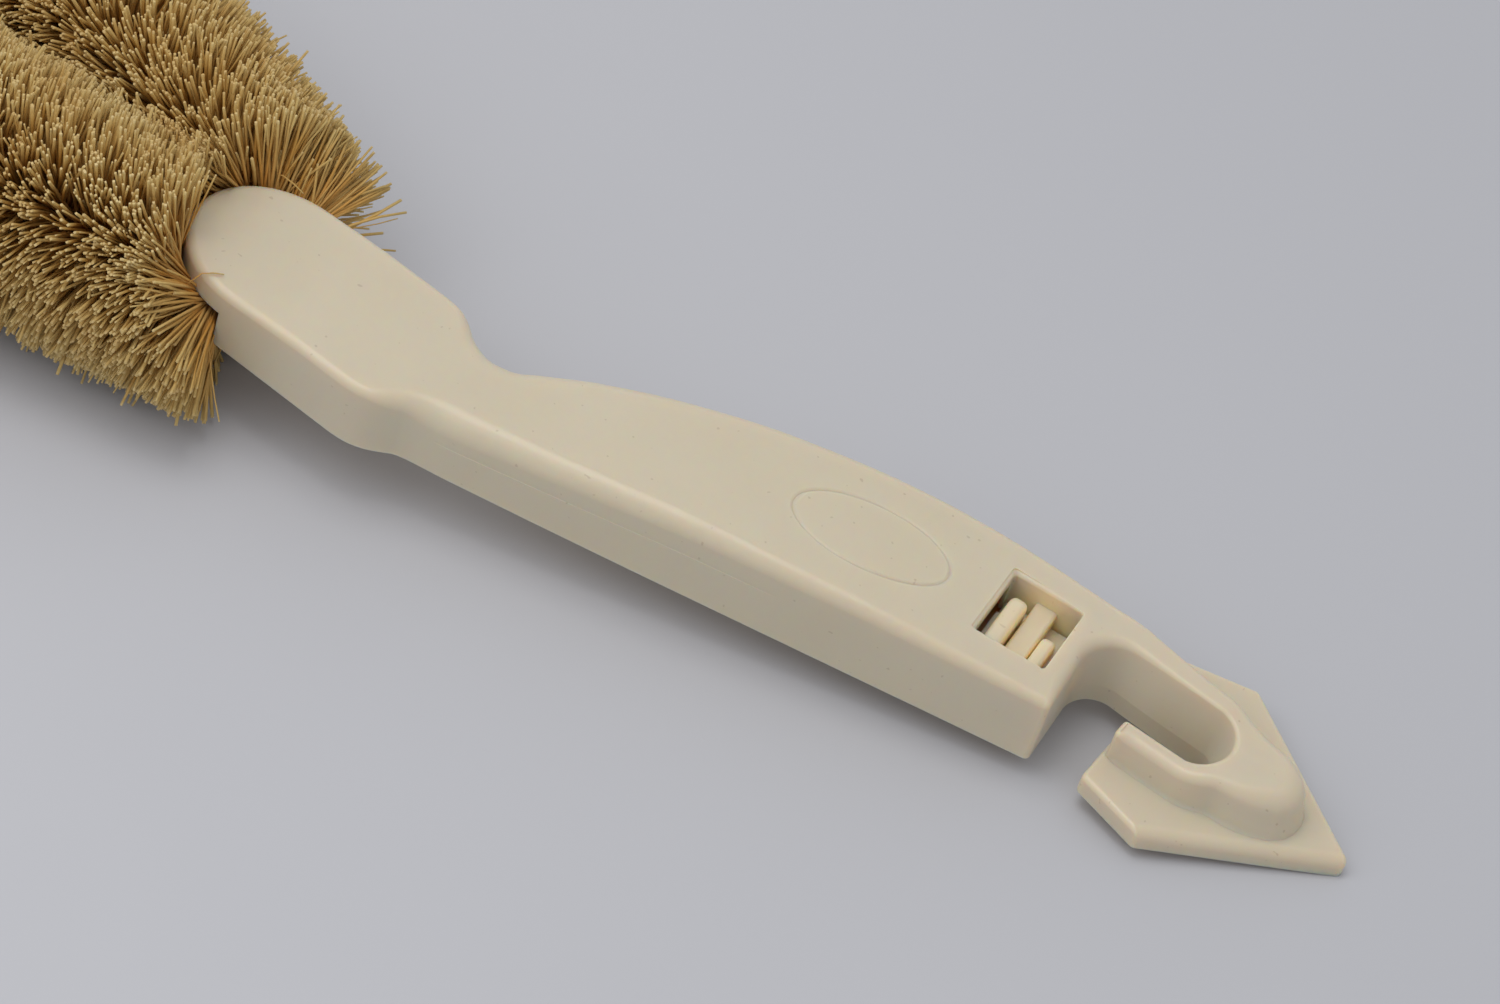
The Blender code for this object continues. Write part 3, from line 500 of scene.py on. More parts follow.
def stack_rings(shape, rings):
    """Closes a stack of level loops of places into a solid, and returns the last loop's vertices."""
    ring = [shape.verts.new(place) for place in rings[0]]
    shape.faces.new(ring)
    for places in rings[1:]:
        raised = [shape.verts.new(place) for place in places]
        for index, vert in enumerate(ring):
            other = (index + 1) % len(ring)
            shape.faces.new((vert, ring[other], raised[other], raised[index]))
        ring = raised
    shape.faces.new(ring)
    return ring


# Places on the handle

def grip_place(share):
    return -REAR_REACH - GRIP_LENGTH * (1 - share)


def grip_left(share):
    return curve_through(LEFT_SHARES, share) * GRIP_WIDTH


def grip_right(share):
    return curve_through(RIGHT_SHARES, share) * GRIP_WIDTH


def grip_top(share):
    return curve_through(HEIGHT_SHARES, share) * GRIP_HEIGHT


def head_matrix():
    """The stem frame, seen from the handle frame: its origin is the middle of the head box's front face."""
    out = Vector((-math.cos(HEAD_TURN), math.sin(HEAD_TURN), 0))
    across = Vector((-math.sin(HEAD_TURN), -math.cos(HEAD_TURN), 0))
    matrix = Matrix((out, across, UP)).transposed().to_4x4()
    matrix.translation = Vector((grip_place(0), -HEAD_SIDE_SHIFT, 0)) + out * BOX_LENGTH
    return matrix


def head_point(u, w):
    return head_matrix() @ Vector((u, w, 0))


def body_top(x):
    """The top's height at one place along the handle, from the hood to the rear face."""
    front = head_point(0, 0).x
    box = ((front, FRONT_HEIGHT), ((front + grip_place(0)) / 2, BOX_HEIGHT), (grip_place(0), grip_top(0)))
    if x < grip_place(0):
        return curve_through(box, x)
    return grip_top((x - grip_place(0)) / GRIP_LENGTH)


# Handle body

class Edge(NamedTuple):
    """What happens to the body's wall at one point of its outline."""
    top: float
    roll: float
    draft: float = 0.0
    foot: float = 0.0
    low: float = 0.0
    seam: float = 0.0
    toe: float = 0.0


class Rim:
    """The handle's plan outline, run anticlockwise, with its wall's facts at each point."""

    def __init__(self):
        self.points = []
        self.edges = []
        self.pairs = []
        self.corners = {}

    def add(self, point, edge):
        self.points.append(Vector((point.x, point.y, 0)))
        self.edges.append(edge)
        return len(self.points) - 1

    def soften(self, place, reach, passes):
        """Rounds a corner of the outline in plan."""
        near = [i for i, point in enumerate(self.points) if (point - place).length < reach]
        for _ in range(passes):
            eased = {}
            for i in near:
                after = self.points[(i + 1) % len(self.points)]
                eased[i] = (self.points[i - 1] + self.points[i] * 2 + after) / 4
            for i, point in eased.items():
                self.points[i] = point

    def add_corner(self, corner, first, second, radius, edges):
        """A tight corner between two walls, given by the ways that they face."""
        mitre = (first + second) / (1 + first.dot(second))
        for step, edge in enumerate(edges):
            out = first.lerp(second, step / (len(edges) - 1)).normalized()
            index = self.add(corner + (out - mitre) * radius, edge)
            self.corners[index] = (corner, mitre, radius, out)

    def moved(self, index, inset):
        """A point's place after the wall has moved inwards. Tight corners stay mitred."""
        if index in self.corners and inset > 0:
            corner, mitre, radius, out = self.corners[index]
            left = max(radius - inset, LEAST_RADIUS)
            return corner - mitre * (left + inset) + out * left
        return self.points[index] + self.inward(index) * inset

    def inward(self, index):
        before = self.points[index - 1]
        after = self.points[(index + 1) % len(self.points)]
        here = self.points[index]
        along = (here - before).normalized() + (after - here).normalized()
        return Vector((-along.y, along.x, 0)).normalized()


def hood_and_box(side):
    """Half of the hood and one side of the head box, from the hood's front to the neck."""
    half = BOX_WIDTH / 2
    side_roll = BOX_LEFT_ROLL if side > 0 else BOX_RIGHT_ROLL
    made = []
    for share in even_steps(0, 1, HOOD_STEPS)[0 if side > 0 else 1:]:
        angle = math.pi / 2 * share
        roll = HOOD_ROLL + (side_roll - HOOD_ROLL) * smooth_share(share)
        made.append((head_point(HOOD_LENGTH * math.cos(angle), side * half * math.sin(angle)), roll))
    for place in even_steps(0, -BOX_LENGTH, BOX_STEPS)[1:-1]:
        made.append((head_point(place, side * half), side_roll))
    return made


def grip_shares():
    return even_steps(0, NECK_END_SHARE, NECK_STEPS)[:-1] + even_steps(NECK_END_SHARE, 1, GRIP_STEPS)


def grip_roll(share, side_roll):
    grown = min(1.0, share / ROLL_START_SHARE)
    start = side_roll + (GRIP_END_ROLL - side_roll) * grown
    return start + (GRIP_ROLL - GRIP_END_ROLL) * (1 - share) * grown


def hook_facts(share):
    """(width, top) of the hook at one share of the half turn round the slot's end."""
    return (curve_through(HOOK_WIDTH_SHARES, share) * HOOK_NOSE_WIDTH,
            curve_through(HOOK_HEIGHT_SHARES, share) * HOOK_HEIGHT)


def slot_edge(share, top):
    start, end = TOE_FADE_SHARES
    toe = SLOT_TOE * (1 - smooth_share((share - start) / (end - start)))
    return Edge(top, curve_through(SLOT_ROLL_SHARES, share) * SLOT_ROLL, low=HOOK_RISE, toe=toe)


def hook_edge(share, top):
    return Edge(
        top,
        curve_through(OUTER_ROLL_SHARES, share) * HOOK_ROLL,
        curve_through(DRAFT_SHARES, share) * HOOK_DRAFT,
        curve_through(FOOT_SHARES, share) * FOOT_RADIUS,
        HOOK_RISE,
    )


def throat_stations():
    """(inner edge, outer edge, top) where the hook leaves the grip's rear face, then along the slot."""
    rear = -REAR_REACH
    slot_right = SLOT_MIDDLE.y + SLOT_WIDTH / 2
    centre = Vector((rear + THROAT_RADIUS, slot_right - THROAT_RADIUS, 0))
    first_width, first_top = hook_facts(0)
    middle_top = (body_top(rear) + first_top) / 2 + THROAT_LIFT
    tops = ((rear, body_top(rear)), (centre.x, middle_top), (SLOT_MIDDLE.x, first_top))
    sides = ((rear, grip_right(1)), (centre.x, slot_right + HOOK_SIDE_WIDTH),
             (SLOT_MIDDLE.x, slot_right + first_width))
    stations = arc(centre, THROAT_RADIUS, -math.pi / 2 - REAR_SLANT, 0, THROAT_STEPS)
    for place in even_steps(centre.x, SLOT_MIDDLE.x, LIMB_STEPS)[1:-1]:
        stations.append(Vector((place, slot_right, 0)))
    made = []
    for point in stations:
        outer = Vector((point.x, curve_through(sides, point.x), 0))
        made.append((point, outer, curve_through(tops, point.x)))
    return made


def turn_stations():
    """(inner edge, outer edge, top, share) round the slot's end."""
    made = []
    for share in even_steps(0, 1, TURN_STEPS):
        width, top = hook_facts(share)
        out = Vector((math.sin(math.pi * share), math.cos(math.pi * share), 0))
        inner = SLOT_MIDDLE + out * SLOT_WIDTH / 2
        made.append((inner, inner + out * width, top, share))
    return made


def rear_corner(start):
    """(corner, the way that the left wall faces, the way that the rear face looks) behind the window."""
    near = Vector((grip_place(REAR_READ_SHARE), grip_left(REAR_READ_SHARE), 0))
    far = Vector((grip_place(1), grip_left(1), 0))
    along = (far - near).normalized()
    face = Vector((math.cos(REAR_SLANT), math.sin(REAR_SLANT), 0))
    reach = (start - far).dot(face) / along.dot(face)
    return far + along * reach, Vector((along.y, -along.x, 0)), face


def add_rear_face(rim, start):
    """The tight corner behind the window, then the rear face as far as the throat."""
    top = body_top(-REAR_REACH)
    corner, wall, face = rear_corner(start)
    rim.add_corner(corner, wall, face, REAR_CORNER, [Edge(top, GRIP_END_ROLL)] * CORNER_POINTS)
    first = corner + Vector((-face.y, face.x, 0)) * REAR_CORNER
    for share in even_steps(0, 1, REAR_STEPS)[1:-1]:
        roll = GRIP_END_ROLL + (REAR_ROLL - GRIP_END_ROLL) * smooth_share(share * 2)
        rim.add(first.lerp(start, share), Edge(top, roll, toe=REAR_TOE * share))


def add_slot_side(rim, throat, turn, places):
    """The throat, the slot's edge and the arm's inner side. Returns the points' numbers."""
    inner = []
    for step, (point, _, height) in enumerate(throat):
        share = smooth_share(step / (len(throat) - 1))
        roll = REAR_ROLL + (slot_edge(0, height).roll - REAR_ROLL) * share
        toe = min(SLOT_TOE, REAR_TOE + step * TOE_STEP)
        inner.append(rim.add(point, Edge(height, roll, low=HOOK_RISE, toe=toe)))
    for point, _, height, share in turn:
        inner.append(rim.add(point, slot_edge(share, height)))
    end, _, height, _ = turn[-1]
    for place in places:
        inner.append(rim.add(Vector((place, end.y, 0)), slot_edge(1, height)))
    return inner


def add_arm_end(rim, near, far, height):
    for side, start in ((near - ARM_EASE, 0), (far + ARM_EASE, -math.pi / 2)):
        centre = Vector((ARM_END + ARM_EASE, side, 0))
        for point in arc(centre, ARM_EASE, start, start - math.pi / 2, ARM_END_STEPS):
            rim.add(point, slot_edge(1, height))


def add_outer_side(rim, throat, turn, places):
    """The arm's outer side, the nose and the limb, back to the grip. Returns the points' numbers."""
    outer = []
    _, end, height, _ = turn[-1]
    for place in reversed(places):
        outer.append(rim.add(Vector((place, end.y, 0)), hook_edge(1, height)))
    for _, point, height, share in reversed(turn):
        outer.append(rim.add(point, hook_edge(share, height)))
    for step, (_, point, height) in enumerate(reversed(throat)):
        share = smooth_share(step / len(throat))
        roll = hook_edge(0, height).roll
        roll += (GRIP_END_ROLL - roll) * share
        edge = Edge(height, roll, HOOK_DRAFT * (1 - share), low=HOOK_RISE * (1 - share))
        outer.append(rim.add(point, edge))
    return outer


def add_hook(rim):
    """The rear face, the throat, the slot's edge and the arm, then back round the nose to the grip."""
    throat = throat_stations()
    turn = turn_stations()
    places = even_steps(SLOT_MIDDLE.x, ARM_END, ARM_STEPS)[1:-1]
    beyond = [station for station in throat if station[0].x > OVERLAP - REAR_REACH]
    add_rear_face(rim, throat[0][0])
    inner = add_slot_side(rim, throat, turn, places)
    near, far, height, _ = turn[-1]
    add_arm_end(rim, near.y, far.y, height)
    outer = add_outer_side(rim, beyond, turn, places)
    rim.pairs += list(zip(inner[len(throat) - len(beyond):], reversed(outer)))


def handle_rim():
    """The whole outline. Strips cross the grip only as far as its rear roll."""
    rim = Rim()
    left = []
    right = []
    reach = -REAR_REACH - REAR_ROLL - OVERLAP
    for point, roll in hood_and_box(1):
        left.append(rim.add(point, Edge(body_top(point.x), roll)))
    shares = grip_shares()
    strips = [share for share in shares if grip_place(share) < reach]
    for share in shares:
        roll = grip_roll(share, BOX_LEFT_ROLL)
        edge = Edge(grip_top(share), roll, seam=curve_through(PARTING_SHARES, share))
        index = rim.add(Vector((grip_place(share), grip_left(share), 0)), edge)
        if share in strips:
            left.append(index)
    add_hook(rim)
    for share in reversed(shares):
        edge = Edge(grip_top(share), grip_roll(share, BOX_RIGHT_ROLL))
        index = rim.add(Vector((grip_place(share), grip_right(share), 0)), edge)
        if share in strips:
            right.append(index)
    for point, roll in reversed(hood_and_box(-1)):
        right.append(rim.add(point, Edge(body_top(point.x), roll)))
    rim.pairs += list(zip(left[1:], reversed(right)))
    for side in (grip_left(0), grip_right(0)):
        rim.soften(Vector((grip_place(0), side, 0)), NECK_EASE, EASE_PASSES)
    return rim


def rim_ring(rim, rise, inset):
    """One loop of places round the rim. rise and inset are worked out from a point's edge."""
    places = []
    for index, edge in enumerate(rim.edges):
        places.append(rim.moved(index, inset(edge)) + UP * rise(edge))
    return places


def body_rings(rim):
    """The loops of the body's wall from the bottom up: the foot, the parting line and the rolled edge."""
    base = PLATE_THICKNESS - FOOT_SINK

    def lean(height, edge):
        share = min(max((height - base) / (edge.top - edge.roll - base), 0.0), 1.0)
        return edge.draft * share - edge.toe * (1 - share)

    def parting(edge):
        return base + (edge.top - edge.roll - base) * PARTING_SHARE

    rings = [rim_ring(rim, lambda edge: edge.low, lambda edge: -edge.foot - edge.toe)]
    for step, angle in enumerate(even_steps(0, math.pi / 2, FOOT_STEPS)):
        up = 1 - math.cos(angle)
        out = 1 - math.sin(angle)
        rings.append(rim_ring(rim, lambda edge: base + edge.foot * up + FOOT_STEP * step,
                              lambda edge: lean(base + edge.foot * up, edge) - edge.foot * out))
    rings.append(rim_ring(rim, parting, lambda edge: lean(parting(edge), edge)))
    rings.append(rim_ring(rim, lambda edge: parting(edge) + PARTING_RISE,
                          lambda edge: lean(parting(edge), edge) + PARTING_STEP * edge.seam))
    for angle in even_steps(0, math.pi / 2, ROLL_STEPS):
        rings.append(rim_ring(rim, lambda edge: edge.top - edge.roll * (1 - math.sin(angle)),
                              lambda edge: (edge.draft + PARTING_STEP * edge.seam
                                            + edge.roll * (1 - math.cos(angle)))))
    return rings


def body_shell():
    """The outline drawn up ring by ring from its lowest face, then closed by strips across the top."""
    rim = handle_rim()
    shape = bmesh.new()
    ring = stack_rings(shape, body_rings(rim))
    for first, second in rim.pairs:
        bmesh.ops.connect_verts(shape, verts=[ring[first], ring[second]])
    return shape


def inner_outline(inset, front):
    """The head box's and the grip's outline drawn in by a wall, and the pairs that strips join."""
    half = BOX_WIDTH / 2 - inset
    left = [head_point(front, half), head_point((front - BOX_LENGTH) / 2, half)]
    right = [head_point(front, -half), head_point((front - BOX_LENGTH) / 2, -half)]
    for share in [*INNER_SHARES, *even_steps(INNER_START_SHARE, 1, INNER_STEPS)]:
        x = grip_place(share) - (inset if share == 1 else 0)
        left.append(Vector((x, grip_left(share) + inset, 0)))
        right.append(Vector((x, grip_right(share) - inset, 0)))
    return left, right


def slab(left, right, low, high):
    """An upright solid between two edges, whose top follows a height along the handle."""
    outline = left + list(reversed(right))
    shape = face_from([point + UP * low for point in outline])
    top = draw_out(shape, UP * OVERRUN)
    for vert in top:
        vert.co.z = high(vert.co.x)
    for first, second in list(zip(left, right))[1:-1]:
        ends = [min(top, key=lambda vert: (vert.co.xy - point.xy).length) for point in (first, second)]
        bmesh.ops.connect_verts(shape, verts=ends)
    return shape


def body_cavity():
    left, right = inner_outline(WALL, -WALL)
    return slab(left, right, -OVERRUN, lambda x: body_top(x) - TOP_WALL)


def below_hood():
    reach = BOX_WIDTH
    return block(GAP, HOOD_LENGTH + OVERRUN, -reach, reach, -OVERRUN, FRONT_HEIGHT - HOOD_LIP, head_matrix())


def hood_hollow():
    """Hollows the hood from below, and opens the head box's front face between its side walls."""
    half = BOX_WIDTH / 2 - WALL - GAP
    stretch = (HOOD_LENGTH - WALL) / half
    outline = [Vector((-WALL - OVERLAP, half, 0))]
    for point in arc(Vector((0, 0, 0)), half, 0, math.pi, HOLLOW_STEPS):
        outline.append(Vector((point.x * stretch, point.y, 0)))
    outline.append(Vector((-WALL - OVERLAP, -half, 0)))
    shape = face_from([point - UP * OVERRUN for point in outline])
    draw_out(shape, UP * (OVERRUN + FRONT_HEIGHT - TOP_WALL - GAP))
    bmesh.ops.transform(shape, matrix=head_matrix(), verts=shape.verts)
    return shape


def inset_corners(corners, insets):
    """The corners of an outline whose sides each move inwards by their own distance."""
    count = len(corners)
    moved = []
    for i in range(count):
        lines = []
        for start in (i - 1, i):
            a = corners[start % count]
            along = (corners[(start + 1) % count] - a).normalized()
            lines.append((a + Vector((-along.y, along.x, 0)) * insets[start % count], along))
        (a, p), (b, q) = lines
        reach = ((b - a).x * q.y - (b - a).y * q.x) / (p.x * q.y - p.y * q.x)
        moved.append(a + p * reach)
    return moved


def plate_outline(corners, angle):
    """One loop of the plate's rolled edge with its rounded corners, at one angle from the wall to the top."""
    insets = [roll * (1 - math.cos(angle)) for roll in PLATE_ROLLS]
    drops = [roll * (1 - math.sin(angle)) for roll in PLATE_ROLLS]
    moved = inset_corners(corners, insets)
    outline = []
    for i, corner in enumerate(moved):
        before = (moved[i - 1] - corner).normalized()
        after = (moved[(i + 1) % len(moved)] - corner).normalized()
        opening = before.angle(after) / 2
        radius = max(PLATE_CORNER - min(insets[i - 1], insets[i]), LEAST_PLATE_CORNER)
        centre = corner + (before + after).normalized() * (radius / math.sin(opening))
        start = corner + before * (radius / math.tan(opening)) - centre
        end = corner + after * (radius / math.tan(opening)) - centre
        for share in even_steps(0, 1, PLATE_CORNER_STEPS):
            place = centre + start.lerp(end, share).normalized() * radius
            drop = drops[i - 1] + (drops[i] - drops[i - 1]) * share
            outline.append(place + UP * (PLATE_THICKNESS - drop))
    return outline


def scraper_plate():
    """The arrow-shaped plate: a soft roll along the side that faces left, crisper edges on the others."""
    half = PLATE_WIDTH / 2
    back = PLATE_BACK_WIDTH / 2
    point = PLATE_CORNER * (1 / math.sin(math.atan2(half, NOSE_LENGTH)) - 1)
    sides = ((point, 0), (-NOSE_LENGTH, half), (-PLATE_LENGTH, back), (-PLATE_LENGTH, -back),
             (-NOSE_LENGTH, -half))
    corners = [Vector((x, PLATE_SIDE_SHIFT + side, 0)) for x, side in sides]
    rolled = [plate_outline(corners, angle) for angle in even_steps(0, math.pi / 2, PLATE_ROLL_STEPS)]
    shape = bmesh.new()
    stack_rings(shape, [[Vector((place.x, place.y, 0)) for place in rolled[0]]] + rolled)
    plate = new_piece("plate", shape)
    outline = arc(SLOT_MIDDLE, SLOT_WIDTH / 2 + OVERLAP, 0, math.pi, SLOT_END_STEPS)
    reach = -PLATE_LENGTH - OVERRUN
    outline += [Vector((reach, outline[-1].y, 0)), Vector((reach, outline[0].y, 0))]
    slot = face_from([place - UP * OVERRUN for place in outline])
    draw_out(slot, UP * (PLATE_THICKNESS + 2 * OVERRUN))
    combine(plate, slot, "DIFFERENCE")
    made = bmesh.new()
    made.from_mesh(plate.data)
    bpy.data.objects.remove(plate, do_unlink=True)
    return made


def on_grip(share, turn):
    """A frame in the handle's underside plane, at one place along the middle of the grip."""
    middle = Vector((grip_place(share), (grip_left(share) + grip_right(share)) / 2, 0))
    return Matrix.Translation(middle) @ Matrix.Rotation(turn, 4, "Z")


def window_matrix():
    return Matrix.Translation(WINDOW_SHIFT) @ on_grip(WINDOW_SHARE, WINDOW_TURN)


def window_top():
    return grip_top(WINDOW_SHARE)


def window_opening():
    """A square cutter that flares near the top, so that the window's rim comes out rounded."""
    shape = block(-WINDOW_LENGTH / 2, WINDOW_LENGTH / 2, -WINDOW_WIDTH / 2, WINDOW_WIDTH / 2,
                  window_top() - WINDOW_DEPTH - OVERRUN, window_top() - WINDOW_ROLL)
    upright = []
    for edge in shape.edges:
        along = edge.verts[0].co - edge.verts[1].co
        if abs(along.z) > along.xy.length:
            upright.append(edge)
    soften_edges(shape, upright, WINDOW_CORNER, EASE_STEPS)
    top = max(shape.faces, key=lambda face: face.calc_center_median().z)
    flare = []
    for angle in even_steps(0, math.pi / 2, FLARE_STEPS):
        flare.append((WINDOW_ROLL * (1 - math.cos(angle)), WINDOW_ROLL * math.sin(angle)))
    flare.append((WINDOW_ROLL * FLARE_SHARE, WINDOW_ROLL + OVERRUN))
    for (before_out, before_up), (out, up) in zip(flare, flare[1:]):
        top = bmesh.ops.extrude_discrete_faces(shape, faces=[top])["faces"][0]
        for vert in top.verts:
            vert.co.x += math.copysign(out - before_out, vert.co.x)
            vert.co.y += math.copysign(out - before_out, vert.co.y)
            vert.co.z += up - before_up
    bmesh.ops.transform(shape, matrix=window_matrix(), verts=shape.verts)
    return shape


def window_shaft(side):
    half = WINDOW_LENGTH / 2 + OVERLAP
    ends = sorted((side * (WINDOW_WIDTH / 2 - OVERLAP), side * (WINDOW_WIDTH / 2 + SHAFT_WALL)))
    return block(-half, half, ends[0], ends[1], window_top() - WINDOW_DEPTH, window_top() - TOP_WALL / 2,
                 window_matrix())


def rounded_tab(x0, x1, y0, y1, low, high, far_radius, ease):
    """An upright tab across the window, whose far upper corner is rounded, with soft edges."""
    corner = Vector((y1 - far_radius, high - far_radius))
    profile = [(x0, y0, low), (x0, y1, low)]
    for angle in even_steps(0, math.pi / 2, TAB_STEPS):
        place = corner + Vector((math.cos(angle), math.sin(angle))) * far_radius
        profile.append((x0, place.x, place.y))
    profile.append((x0, y0, high))
    shape = face_from(profile)
    draw_out(shape, Vector((x1 - x0, 0, 0)))
    sides = [face for face in shape.faces if len(face.verts) > 4]
    edges = [edge for edge in shape.edges if any(face in sides for face in edge.link_faces)
             and max(vert.co.z for vert in edge.verts) > low + GAP]
    soften_edges(shape, edges, ease, TAB_EASE_STEPS)
    bmesh.ops.transform(shape, matrix=window_matrix(), verts=shape.verts)
    return shape


def latch_bar():
    top = window_top() - BAR_DEPTH
    reach = WINDOW_WIDTH / 2 + SHAFT_WALL / 2
    return block(BAR_SHIFT - BAR_WIDTH / 2, BAR_SHIFT + BAR_WIDTH / 2, -reach, reach, top - BAR_HEIGHT, top,
                 window_matrix(), BAR_EASE)


def oval_groove():
    """A shallow oval groove that follows the grip's top: a cutter with a V-shaped underside."""
    turn = on_grip(OVAL_SHARE, OVAL_TURN)
    side = OVAL_GROOVE / 2 * (1 + OVAL_FLARE)
    shape = bmesh.new()
    rings = []
    high = OVAL_DEPTH * OVAL_FLARE
    for inset, rise in ((-side, high), (0.0, -OVAL_DEPTH), (side, high)):
        ring = []
        for angle in even_steps(0, 2 * math.pi, OVAL_STEPS)[:-1]:
            place = turn @ Vector(((OVAL_LENGTH / 2 - inset) * math.cos(angle),
                                   (OVAL_WIDTH / 2 - inset) * math.sin(angle), 0))
            ring.append(shape.verts.new((place.x, place.y, body_top(place.x) + rise)))
        rings.append(ring)
    for first, second in zip(rings, rings[1:] + rings[:1]):
        for i in range(OVAL_STEPS):
            j = (i + 1) % OVAL_STEPS
            shape.faces.new((first[i], first[j], second[j], second[i]))
    return shape


def build_body(material):
    body = new_piece("handle_moulding", body_shell())
    combine(body, below_hood(), "DIFFERENCE")
    combine(body, body_cavity(), "DIFFERENCE")
    combine(body, hood_hollow(), "DIFFERENCE")
    combine(body, scraper_plate(), "UNION")
    for side in (-1, 1):
        combine(body, window_shaft(side), "UNION")
    combine(body, window_opening(), "DIFFERENCE")
    combine(body, latch_bar(), "UNION")
    combine(body, oval_groove(), "DIFFERENCE")
    finish_piece(body, material)
    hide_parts("handle_body")
    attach(body, "root")


def latch_shapes(low):
    """The window's floor, and each finger with the low root beside it, as they rise from the cover."""
    near = GAP - WINDOW_WIDTH / 2
    head_end = GAP - WINDOW_LENGTH / 2
    rear_end = WINDOW_LENGTH / 2 - GAP
    top = window_top()
    turn = window_matrix()
    floor = block(head_end, rear_end, near, WINDOW_WIDTH / 2 - GAP, low, top - WINDOW_FLOOR_DEPTH, turn)
    thickness, width, depth, radius, ease = LONG_FINGER
    side = BAR_SHIFT - BAR_WIDTH / 2 - GAP
    long_finger = rounded_tab(side - thickness, side, near, near + width, low, top - depth, radius, ease)
    long_root = block(head_end, side - thickness + OVERLAP, near, near + width - thickness, low,
                      top - FINGER_ROOT_DEPTH, turn)
    thickness, width, depth, radius, ease = SHORT_FINGER
    side = BAR_SHIFT + BAR_WIDTH / 2 + GAP
    short_finger = rounded_tab(side, side + thickness, near, near + width, low, top - depth, radius, ease)
    short_root = block(side + thickness - OVERLAP, rear_end, near, near + width, low,
                       top - FINGER_ROOT_DEPTH, turn)
    return floor, long_finger, long_root, short_finger, short_root


def build_cover(material):
    """The cover plate with its low ribs and the two fingers that hold the latch bar."""
    left, right = inner_outline(WALL + GAP, -WALL - GAP)
    cover = new_piece("cover_moulding", slab(left, right, 0.0, lambda x: COVER_THICKNESS))
    low = COVER_THICKNESS - OVERLAP
    for share in COVER_RIB_SHARES:
        x = grip_place(share)
        y = (grip_left(share) + grip_right(share)) / 2
        combine(cover, block(x - COVER_RIB / 2, x + COVER_RIB / 2, y - COVER_RIB_WIDTH / 2,
                             y + COVER_RIB_WIDTH / 2, low, COVER_RIB_HEIGHT), "UNION")
    for shape in latch_shapes(low):
        combine(cover, shape, "UNION")
    finish_piece(cover, material)
    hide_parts("base_cover")
    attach(cover, "root")


# Palm fibres

class Stem:
    """The stem's middle line in the stem frame, read by distance: out on the left and back on the right."""

    def __init__(self):
        straight = even_steps(-STEM_INSIDE, BEND_START, STEM_STEPS)[:-1]
        leg = [Vector((u, self.side(u), STEM_HEIGHT)) for u in straight]
        bend = arc(Vector((BEND_START, 0, STEM_HEIGHT)), BEND_RADIUS, 0, math.pi, BEND_STEPS)
        back = [Vector((point.x, -point.y, point.z)) for point in reversed(leg)]
        self.points = leg + bend + back
        self.distances = [0.0]
        for before, after in zip(self.points, self.points[1:]):
            self.distances.append(self.distances[-1] + (after - before).length)
        self.length = self.distances[-1]

    @staticmethod
    def side(u):
        return STEM_ROOT_SIDE + (BEND_RADIUS - STEM_ROOT_SIDE) * smooth_share(u / STEM_SPREAD)

    def at(self, distance):
        """(point, direction, level side) at one distance."""
        after = min(max(bisect_right(self.distances, distance), 1), len(self.distances) - 1)
        start, end = self.distances[after - 1:after + 1]
        before, beyond = self.points[after - 1:after + 1]
        along = (beyond - before).normalized()
        return before.lerp(beyond, (distance - start) / (end - start)), along, UP.cross(along)

    def reach(self, distance):
        """How far the cut bristles reach from the stem: less near the head box."""
        start = STEM_INSIDE + BRISTLE_START
        share = min(max(min(distance - start, self.length - start - distance) / BRISTLE_TAPER, 0.0), 1.0)
        return BRISTLE_ROOT_RADIUS + (BRISTLE_RADIUS - BRISTLE_ROOT_RADIUS) * share * (2 - share)


def under_hood(point):
    """Whether a place in the stem frame is inside the hood or the head box."""
    if point.z > FRONT_HEIGHT + LIP_GAP:
        return False
    if point.x < FACE_GAP:
        return abs(point.y) < BOX_WIDTH / 2 + SIDE_GAP and point.x > -BOX_LENGTH
    spread = (point.x / (HOOD_LENGTH + RIM_GAP)) ** 2 + (point.y / (BOX_WIDTH / 2 + RIM_GAP)) ** 2
    return spread < 1 and point.z > FRONT_HEIGHT - HOOD_LIP - LIP_GAP


def shared_noise(kind, distance, turn):
    along, around, shift = kind
    place = Vector((distance * along, math.cos(turn) * around + shift, math.sin(turn) * around))
    return noise.noise_vector(place)


def tilt(kind, chance, patch, tuft):
    spread, patch_share, tuft_share = kind
    return chance.gauss(0, spread) + patch * patch_share + tuft * tuft_share


def keep_apart(place, root, rise, margin):
    """Bends a fibre up or down where it would cross into the other arm, or into the hole of the bend."""
    if root.x < BEND_START:
        crossed = margin - place.y * math.copysign(1.0, root.y)
        if crossed > 0:
            place.y = math.copysign(margin, root.y)
            place.z += crossed * ASIDE_SHARE * rise
        return
    arm = Vector((place.x - BEND_START, place.y, 0))
    if arm.length < margin + HOLE_RADIUS or arm.x < 0:
        lost = max(0.0, margin + HOLE_RADIUS - arm.x)
        place.z += min(lost, MOST_LOST) * ASIDE_SHARE * rise
        place.x = max(place.x, BEND_START - HOLE_BACK)


def settle(places, top, to_world):
    """Keeps a fibre below its neighbours' tips and above the table. False where it meets the hood."""
    for place in places:
        place.z = min(place.z, top)
        if under_hood(place):
            return False
        height = (to_world @ place).z
        if height < TABLE_GAP:
            place.z += TABLE_GAP - height
    return True


